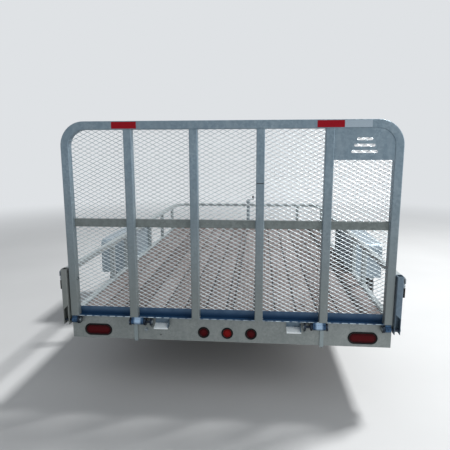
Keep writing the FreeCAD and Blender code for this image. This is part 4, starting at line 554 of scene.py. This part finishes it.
def make_deck():
    """Boards with eased edges, each a touch out of line with the next, and two screws a crossing."""
    low, high = (Vector(corner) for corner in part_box("deck_planks"))
    boards = [(low.x + number * PITCH + (STRIP + GAP if number >= COUNT // 2 else 0.0), PITCH - GAP)
              for number in range(COUNT)]
    boards.append((-STRIP / 2, STRIP))
    shape, ease = bmesh.new(), 3 * MM
    for x, width in boards:
        drop = chance.uniform(0.0, 1.0) * MM
        slab(shape, (x, low.y, low.z), (x + width, high.y, high.z - drop), ease)
    deck = piece("planks", shape, pine, "chassis")
    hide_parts("deck_planks")
    # screws over the middle of each cross member, and near the boards' ends
    member, spacing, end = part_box("cross_members")[0][1] + 26 * MM, 0.5, 22 * MM
    rows = [member + spacing * row for row in range(7)] + [low.y + end, high.y - end]
    # a countersunk head with its square drive open, in mm, and how deep it starts in the board
    head, sunk = ((1.5, 5.2), (2.5, 5.0), (2.5, 1.9), (0.0, 1.7)), 2.7 * MM
    screws = bmesh.new()
    for row in rows:
        for x, width in boards:
            for share in (0.22, 0.78) if width > STRIP else (0.5,):
                start = (x + share * width + chance.uniform(-3, 3) * MM,
                         row + chance.uniform(-4, 4) * MM, high.z - sunk)
                spin(screws, start, (0, 0, 1), metres(head), 12, chance.uniform(0, math.tau))
    piece("deck_screws", screws, plated, "chassis")


def make_tyre(side):
    """A trailer tyre: four straight grooves, notched shoulder ribs and a ribbed sidewall."""
    steps, shoulder, bow = 216, 24 * MM, 5 * MM
    low, high = (Vector(corner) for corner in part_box(f"tyre_{side}"))
    centre = (low + high) / 2
    half, outer = (high.x - low.x) / 2, (high.z - low.z) / 2
    tread = half - shoulder
    # the crown, with each groove's offset and depth in mm
    crown = []
    for share in (-0.6, -0.2, 0.2, 0.6):
        for offset, depth in ((-6, 0.0), (-4, 8.0), (4, 8.0), (6, 0.0)):
            along = share * tread + offset * MM
            crown.append((along, outer - bow * (abs(along) / tread) ** 2.2 - depth * MM))
    # the sidewall from tread to bead: inset from the widest place and drop from the top, in mm
    wall = ((30, 5.5), (17, 13), (9, 26), (6, 28), (5, 42), (1, 50), (0, 70), (3, 92), (5, 94),
            (6, 112), (12, 128), (16, 142), (22, 145), (24, 155))
    right = [(half - inset * MM, outer - drop * MM) for inset, drop in wall]
    profile = [(-along, radius) for along, radius in reversed(right)]
    first = len(profile)
    profile += crown
    last = len(profile) - 1
    profile += right
    # the shoulders' notches: depth in mm at the profile's points next to the crown
    notches = {}
    for away, depth in ((1, 6.0), (2, 6.0), (3, 3.0)):
        notches[first - away] = notches[last + away] = depth

    def notch(index, step):
        """A notch takes two steps of every six."""
        return notches.get(index, 0.0) * MM if step % 6 < 2 else 0.0

    shape = bmesh.new()
    lathe(shape, profile, centre, steps, notch)
    made = piece(f"tyre_tread_{side}", shape, tyre, f"wheel_{side}", smooth=28)
    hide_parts(f"tyre_{side}")


def make_valve(side, sign):
    """The rubber valve stem through the rim, with its cap."""
    low, high = (Vector(corner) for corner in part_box(f"rim_{side}"))
    centre = (low + high) / 2
    shape = bmesh.new()
    # along and radius in mm, from its foot in the rim's well; it leans towards the hub
    stem = ((0, 7.5), (4, 7.5), (6, 5.5), (30, 4.2), (31, 4.8), (42, 4.8), (44, 3.4))
    outward, ahead, above, lean = 4 * MM, 60 * MM, 163 * MM, -0.22
    start = (centre.x + sign * outward, centre.y + ahead, centre.z + above)
    spin(shape, start, (sign, 0.0, lean), metres(stem), 16)
    piece(f"valve_stem_{side}", shape, vinyl, f"wheel_{side}", smooth=50)


def oval(centre, half_width, half_height, y):
    """Points round an oval with straight sides, or a circle where it is as wide as high."""
    count, reach = 48, half_width - half_height
    points = []
    for step in range(count):
        angle = math.tau * (step + 0.5) / count
        shift = reach if math.cos(angle) > 0 else -reach
        points.append((centre[0] + shift + half_height * math.cos(angle), y,
                       centre[1] + half_height * math.sin(angle)))
    return points


def make_mesh():
    """Slit sheet pulled open: every strand lies tilted between two flat bonds, inside a flat hem."""
    low, high = (Vector(corner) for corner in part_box("gate_mesh"))
    corner, hem = 144 * MM, 7 * MM
    up = (math.sin(LEAN), math.cos(LEAN))
    shape = bmesh.new()

    def edge(z, inset):
        """Half the width at a height inside the gate's rounded outline."""
        rise, bend = z - (high.z - corner), corner - inset
        side = high.x - inset
        return side - bend + math.sqrt(max(bend * bend - rise * rise, 0.0)) if rise > 0 else side

    def strand(x, row):
        """The strand's middle, which goes from the bond below it to the bond above."""
        shift = DIAMOND / 2 if row % 2 else 0.0
        away = abs((x - shift + DIAMOND / 2) % DIAMOND - DIAMOND / 2)
        share = min(max((away - BOND / 2) / (DIAMOND / 2 - BOND), 0.0), 1.0)
        reach = (0.5 - share) * STRAND
        return middle + reach * up[0], bottom + (row + share) * ROW + reach * up[1]

    middle = low.y + STRAND * up[0] + SHEET * up[1] / 2
    bottom = low.z + hem / 2
    for row in range(int((high.z - low.z - hem) / ROW)):
        end = edge(bottom + (row + 0.5) * ROW, hem / 2)
        bonds = range(-int(end / DIAMOND * 2) - 1, int(end / DIAMOND * 2) + 2)
        stops = [bond * DIAMOND / 2 + way * BOND / 2 for bond in bonds for way in (-1, 1)]
        rings = []
        for x in (-end, *(stop for stop in stops if abs(stop) < end - 1 * MM), end):
            y, z = strand(x, row)
            rings.append([(x, y + (a * STRAND * up[0] - b * SHEET * up[1]) / 2,
                           z + (a * STRAND * up[1] + b * SHEET * up[0]) / 2)
                          for a, b in ((-1, -1), (1, -1), (1, 1), (-1, 1))])
        loft(shape, rings)
    # the hem runs up one side, over both rounded corners and down the other: None is a lower corner
    arc = [math.pi / 2 * step / 12 for step in range(13)]
    turn = [(math.sin(angle), math.cos(angle)) for angle in arc]
    path = [(-1, None), *((-1, point) for point in reversed(turn)), *((1, point) for point in turn),
            (1, None)]
    rings = []
    for sign, point in path:
        ring = []
        for inset, y in ((0.0, low.y), (hem, low.y), (hem, high.y), (0.0, high.y)):
            bend = corner - inset
            if point:
                ring.append((sign * (high.x - corner + bend * point[0]), y,
                             high.z - corner + bend * point[1]))
            else:
                ring.append((sign * (high.x - inset), y, low.z + inset))
        rings.append(ring)
    loft(shape, rings, join=True)
    made = piece("expanded_mesh", shape, sunlit_mesh_zinc, "gate", smooth=40)
    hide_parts("gate_mesh")


def make_lamps():
    """Soft-lipped grommets, and domed lenses with a raised bezel; the middle one is brighter."""
    # inset from the lamp's edge and depth in the channel, in mm: below 0 stands proud of its face
    lip = ((0, 0.0), (0.4, -3.2), (2.0, -5.0), (6.0, -5.0), (9.0, -3.6), (10.8, -0.5), (11.0, 4.0))
    dome = ((11.2, 20.0), (11.2, -1.5), (12.0, -3.2), (13.6, -3.7), (15.0, -3.0), (15.8, -2.2),
            (19.0, -3.0), (24.0, -3.6), (30.0, -3.9))
    surrounds, glass, middle = bmesh.new(), bmesh.new(), bmesh.new()
    for x, z, half_width, half_height in LAMPS:
        for shape, profile, ends in ((surrounds, lip, False), (glass if x else middle, dome, True)):
            loft(shape, [oval((x, z), half_width - inset * MM, half_height - inset * MM, REAR + y * MM)
                         for inset, y in profile], ends=ends)
    grommets = piece("lamp_surrounds", surrounds, vinyl, "chassis", smooth=60)
    lenses = piece("lamp_lenses", glass, lens_red, "chassis", smooth=50)
    piece("lamp_lens_middle", middle, lens_bright, "chassis", smooth=50)
    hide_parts("lamp_grommets")
    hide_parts("tail_lamps")


def make_rests():
    """Pressed brackets that the lowered gate lies over: a back plate and a web at the right end, both
    in the latch post's painted shade, and a shelf that falls a little to the rear, painted pale as if
    sunlit."""
    low, high = (Vector(corner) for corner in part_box("gate_rests"))
    width, wall = 90 * MM, 6 * MM
    # each part's side as (y, z) in mm from the channel's face and the bracket's lower edge
    back = ((0, 0), (0, 52), (-6, 52), (-6, 21))
    web = ((-6, 0), (-6, 42), (-12, 42), (-59, 5), (-59, 1))
    shelf = ((-6, 21), (-60, 6), (-60, 0), (-6, 14))
    backs, shelves = bmesh.new(), bmesh.new()
    for start, stop in ((low.x, low.x + width), (high.x - width, high.x)):
        parts = ((backs, start, back), (backs, stop - wall, web), (shelves, start, shelf))
        for shape, first, side in parts:
            loft(shape, [[(x, high.y + y * MM, low.z + z * MM) for y, z in side]
                         for x in (first, stop)])
    # painted shade on the back plates and webs, painted sunlight on the shelves
    brackets = piece("rest_brackets", backs, shaded_post_zinc, "chassis")
    piece("rest_shelves", shelves, sunlit_rest_zinc, "chassis")
    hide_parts("gate_rests")


def make_tape():
    """Reflective strips on the rear face of the gate's top bar."""
    low, high = (Vector(corner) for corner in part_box("gate_frame"))
    rear, front, bottom, top = low.y - 0.4 * MM, low.y + 0.1 * MM, high.z - 45 * MM, high.z - 5 * MM
    for shade, finish, slot, strips in (
        ("red", tape_red, "red_lens", ((-0.694, -0.542), (0.524, 0.678))),
        ("white", tape_white, "gate_steel", ((0.679, 0.833),)),
    ):
        shape = bmesh.new()
        for start, stop in strips:
            slab(shape, (start, rear, bottom), (stop, front, top))
        piece(f"tape_{shade}", shape, finish, "gate")


def weld(shape, start, stop, radius=3.2 * MM):
    """A seven-sided fillet bead between two points, with a ripple and a little chance in its width."""
    sides, pitch, ripple, stray = 7, 2.6 * MM, 0.16, 0.08
    start, stop = Vector(start), Vector(stop)
    run = stop - start
    count = max(3, int(run.length / pitch))
    direction = run.normalized()
    side = direction.orthogonal().normalized()
    other = direction.cross(side)
    rings = []
    for step in range(count + 1):
        swell = radius * (1.0 + ripple * math.sin(step * 2.4) + chance.uniform(-stray, stray))
        if step in (0, count):
            swell *= 0.5
        centre = start + run * step / count
        rings.append([centre + swell * (math.cos(a) * side + math.sin(a) * other)
                      for a in (math.tau * k / sides for k in range(sides))])
    loft(shape, rings)


def weld_square(shape, low, high, level):
    """Beads round a square tube that stands on a surface at a height."""
    corners = ((low[0], low[1]), (high[0], low[1]), (high[0], high[1]), (low[0], high[1]))
    for first, second in zip(corners, corners[1:] + corners[:1]):
        weld(shape, (*first, level), (*second, level))


def make_gate_welds():
    """Beads where the gate's bars meet, tacks along the mesh, and a dark seam across one bar."""
    low, high = (Vector(corner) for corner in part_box("gate_frame"))
    mid_low, mid_high = (Vector(corner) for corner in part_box("gate_mid_bar"))
    mesh_low, mesh_high = (Vector(corner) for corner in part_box("gate_mesh"))
    tube, half = 50 * MM, 25 * MM
    # the top bead's place, and the foot beads' level, rear end and front end
    face, under = low.y + 1 * MM, high.z - tube
    foot, rear, front = low.z + 4 * MM, low.y + 2 * MM, low.y + 44 * MM
    shape = bmesh.new()

    def bar_side(x):
        """Beads on one side of an upright bar: at the middle bar, and at its foot."""
        weld(shape, (x, mid_low.y, mid_low.z), (x, mid_low.y, mid_high.z))
        weld(shape, (x, rear, foot), (x, front, foot))

    for middle in UPRIGHTS:
        weld(shape, (middle - half, face, under), (middle + half, face, under))
        bar_side(middle - half)
        bar_side(middle + half)
    for sign in (-1, 1):
        bar_side(sign * (high.x - tube))
    # tacks from the mesh's border to the bars behind it
    first, apart, tack, aside = 120 * MM, 200 * MM, 14 * MM, 14 * MM
    for level in range(6):
        z = low.z + first + level * apart
        for x in (mesh_low.x, *(middle + aside for middle in UPRIGHTS), mesh_high.x):
            weld(shape, (x, mesh_low.y, z), (x, mesh_low.y, z + tack))
    piece("gate_welds", shape, gate_zinc, "gate", smooth=80)
    seam = bmesh.new()
    left, right, proud, z = 0.177, 0.223, low.y + 0.6 * MM, 1.425
    weld(seam, (left, proud, z), (right, proud, z), radius=2.4 * MM)
    piece("bar_seam", seam, enamel, "gate", smooth=80)


def make_frame_welds():
    """Beads at the feet and heads of the posts, and along the tongue, coupler and jack plate."""
    shape = bmesh.new()
    # side posts: two faces' distances from the centreline, and places in mm ahead of the channel
    faces, stations = (1.025, 1.063), (840, 1220, 2060, 2675, 3290)
    # front posts: the middle's distance from the centreline, the rear face and the front face
    corner, rear, front = 0.740, 1.232, 1.270
    # half a post's side, and the tops of the sill and the front beam, and the rails' underside
    half, sill, beam, rail = 19 * MM, 0.557, 0.548, 0.837
    # the coupler's rear edge: place, side, lower end of the side, and the bead along its top
    edge, side, low, top, top_ends = 2.201, 0.1547, 0.398, 0.440, (0.090, 0.150)
    # the jack's plate: the tongue beams' top, width and slant, their outer side at the plate's rear
    # edge, and the lines of the two beads
    tongue, width, slant = 0.434, 56 * MM, math.tan(math.radians(25))
    reach, start, lines = 0.192, 2.045, (2.046, 2.194)
    # the springs' hangers under the side beams: inner side, half a length and the level
    hanger, length, under = 0.970, 34 * MM, 0.433
    for sign in (-1, 1):
        inner, outer = sorted(sign * face for face in faces)
        for station in stations:
            y = REAR + station * MM
            for level in (sill, rail):
                weld_square(shape, (inner, y - half), (outer, y + half), level)
        x = sign * corner
        for level in (beam, rail):
            weld_square(shape, (x - half, rear), (x + half, front), level)
        weld(shape, (sign * side, edge, low), (sign * side, edge, tongue))
        weld(shape, *((sign * x, edge, top) for x in top_ends))
        for y in lines:
            away = reach - (y - start) * slant
            weld(shape, (sign * (away - width), y, tongue), (sign * away, y, tongue))
        for end in (-1, 1):
            y = AXLE + end * SPRING_END
            weld(shape, (sign * hanger, y - length, under), (sign * hanger, y + length, under))
    # a ring round the jack's tube, on its collar
    radius, middle, level = 30 * MM, 2.120, 0.4565
    ring = [(radius * math.cos(a), middle + radius * math.sin(a), level)
            for a in (math.tau * step / 18 for step in range(19))]
    for first, second in zip(ring, ring[1:]):
        weld(shape, first, second, radius=3.6 * MM)
    piece("frame_welds", shape, frame_zinc, "chassis", smooth=80)


def make_fasteners():
    """Heads on the hinge pins, nuts on the clamps and springs, and bolts on the tongue and channel."""
    shape = bmesh.new()
    # a forged pin head in mm, a disc with a rounded rim; each end's place, and the way it faces
    head = ((0, 13.0), (3.6, 13.0), (4.6, 12.0), (5.0, 9.0))
    pin_line, pin_ends = REAR - 28 * MM, ((0.484, -1), (0.629, 1), (0.961, -1), (1.063, 1))
    # U-bolts' ends under the clamps: distances from the centreline and the axle, and the level
    clamp_sides, clamp_reach, clamp_level = (0.974, 1.026), 36.5 * MM, 0.279
    # the bolts through the springs' eyes: the spring's middle, half a bolt, and the level
    spring, bolt, eye_level = 1.0, 25 * MM, 0.3795
    # the jack's plate: its top, two bolts behind the tube and one ahead
    plate, aside, behind, ahead = 0.442, 0.052, 2.091, 2.178
    # the pin that the coupler's lever turns on: a side of the lever, the line and the level
    pin_side, pin_place, pin_level = 14 * MM, 2.352, 0.449
    for sign in (-1, 1):
        for x, way in pin_ends:
            spin(shape, (sign * x, pin_line, PIN_HEIGHT), (sign * way, 0, 0), metres(head), 24)
        for x in clamp_sides:
            for y in (-clamp_reach, clamp_reach):
                nut(shape, (sign * x, AXLE + y, clamp_level), (0, 0, -1), 10 * MM, 9 * MM)
        for end in (-1, 1):
            for way in (-1, 1):
                nut(shape, (sign * (spring + way * bolt), AXLE + end * SPRING_END, eye_level),
                    (sign * way, 0, 0), 11 * MM, 7 * MM)
        nut(shape, (sign * aside, behind, plate), (0, 0, 1), 9 * MM, 7 * MM)
        nut(shape, (sign * pin_side, pin_place, pin_level), (sign, 0, 0), 5 * MM, 4 * MM)
    nut(shape, (0, ahead, plate), (0, 0, 1), 9 * MM, 7 * MM)
    # the one bolt head that shows on the channel's rear face, left of the left bracket
    nut(shape, (-0.530, REAR, 0.470), (0, -1, 0), 10 * MM, 7 * MM)
    piece("frame_fasteners", shape, plated, "chassis", smooth=30)


def make_crank_grip():
    """A ribbed black sleeve over the crank's knob."""
    low, high = (Vector(corner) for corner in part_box("jack_crank"))
    # along and radius in mm; a rib stands every 7.2 mm
    base, rib, pitch = 13.6, 14.4, 7.2
    profile = [(0, 12.6), (1, base)]
    for number in range(8):
        at = 4 + number * pitch
        profile += [(at, base), (at + 1.6, rib), (at + 4.0, rib), (at + 5.6, base)]
    profile += [(62.5, base), (64, 12.2)]
    knob, start = 12 * MM, low.z + 1.5 * MM
    shape = bmesh.new()
    spin(shape, (high.x - knob, high.y - knob, start), (0, 0, 1), metres(profile), 32)
    piece("crank_grip", shape, vinyl, "chassis", smooth=50)


def to_the_eye(tree):
    """1 for a ray that the camera sees, straight, mirrored or through glass, and 0 for other light."""
    path = add(tree, "ShaderNodeLightPath").node
    straight, glossy, through = (path.outputs[f"Is {kind} Ray"]
                                 for kind in ("Camera", "Glossy", "Transmission"))
    eye = add(tree, "ShaderNodeMath", {0: straight, 1: glossy}, operation="MAXIMUM")
    return add(tree, "ShaderNodeMath", {0: eye, 1: through}, operation="MAXIMUM")


def make_studio():
    """A pale floor that runs into a pale backdrop, a soft sky, a high lamp and a broad low one, both
    from the right."""
    reach, shape = 80.0, bmesh.new()
    loft(shape, [[(-reach, y, 0), (reach, y, 0)] for y in (-reach, reach)], closed=False, ends=False)
    paint, tree, place = blank("matt_painted_floor")
    # worn patches: 1.2 m across
    worn = add(tree, "ShaderNodeTexNoise", {"Vector": place, "Scale": 1 / 1.2, "Detail": 6.0})
    base = add(tree, "ShaderNodeValToRGB", {"Fac": worn}, stops=((0.3, "c6c7c7"), (0.7, "cbcccc")))
    lit = add(tree, "ShaderNodeBsdfPrincipled", {
        "Base Color": base, "Roughness": 0.9, "Specular IOR Level": 0.2,
    })
    # far off, the floor is seen in the backdrop's own colour, so no edge shows
    far = add(tree, "ShaderNodeVectorMath", {0: place}, out="Value", operation="LENGTH")
    far = add(tree, "ShaderNodeMapRange", {"Value": far, "From Min": 4.0, "From Max": 11.0},
              interpolation_type="SMOOTHSTEP")
    amount = add(tree, "ShaderNodeMath", {0: far, 1: to_the_eye(tree)}, operation="MULTIPLY")
    glow = add(tree, "ShaderNodeEmission", {"Color": BACKDROP, "Strength": 1.0})
    both = add(tree, "ShaderNodeMixShader", {0: amount, 1: lit, 2: glow})
    add(tree, "ShaderNodeOutputMaterial", {"Surface": both})
    floor = placed("floor", shape, paint)

    world = bpy.data.worlds.new("studio")
    bpy.context.scene.world = world
    world.use_nodes = True
    tree = world.node_tree
    tree.nodes.clear()
    sky = add(tree, "ShaderNodeBackground", {"Color": "eef2f7", "Strength": 0.43})
    backdrop = add(tree, "ShaderNodeBackground", {"Color": BACKDROP, "Strength": 1.0})
    both = add(tree, "ShaderNodeMixShader", {0: to_the_eye(tree), 1: sky, 2: backdrop})
    add(tree, "ShaderNodeOutputWorld", {"Surface": both})

    # each lamp's name, place, aim, size in metres and power in watts
    for name, spot, aim, size, power in (
        ("key", (4.8, 0.2, 8.4), (0, -1.2, 0.5), 1.2, 1000),
        ("fill", (6.5, -5.2, 3.2), (0, -1.6, 0.8), 4.0, 200),
    ):
        lamp = bpy.data.lights.new(name, "AREA")
        lamp.size = size
        lamp.energy = power
        holder = bpy.data.objects.new(name, lamp)
        bpy.context.collection.objects.link(holder)
        holder.location = spot
        holder.rotation_euler = (Vector(aim) - Vector(spot)).to_track_quat("-Z", "Y").to_euler()


def make_camera():
    """The viewpoint behind the trailer, a little right of its middle, at eye height."""
    camera = bpy.data.cameras.new("camera")
    camera.sensor_width = 36.0
    camera.lens = 33.71
    camera.clip_end = 200.0
    holder = bpy.data.objects.new("camera", camera)
    bpy.context.collection.objects.link(holder)
    # metres to the right of the middle, behind the channel and up; and radians
    aside, behind, height = 0.203, 2.553, 1.598
    yaw, pitch, roll = 0.0845, 0.1667, -0.0016
    turn = (Matrix.Rotation(yaw, 4, "Z") @ Matrix.Rotation(math.pi / 2 - pitch, 4, "X")
            @ Matrix.Rotation(roll, 4, "Z"))
    holder.matrix_world = Matrix.Translation((aside, REAR - behind, height)) @ turn
    bpy.context.scene.camera = holder


make_deck()
for side, sign in SIDES:
    make_tyre(side)
    make_valve(side, sign)
make_mesh()
make_lamps()
make_rests()
make_tape()
make_gate_welds()
make_frame_welds()
make_fasteners()
make_crank_grip()
make_studio()
make_camera()
bpy.context.scene.view_settings.view_transform = "Standard"
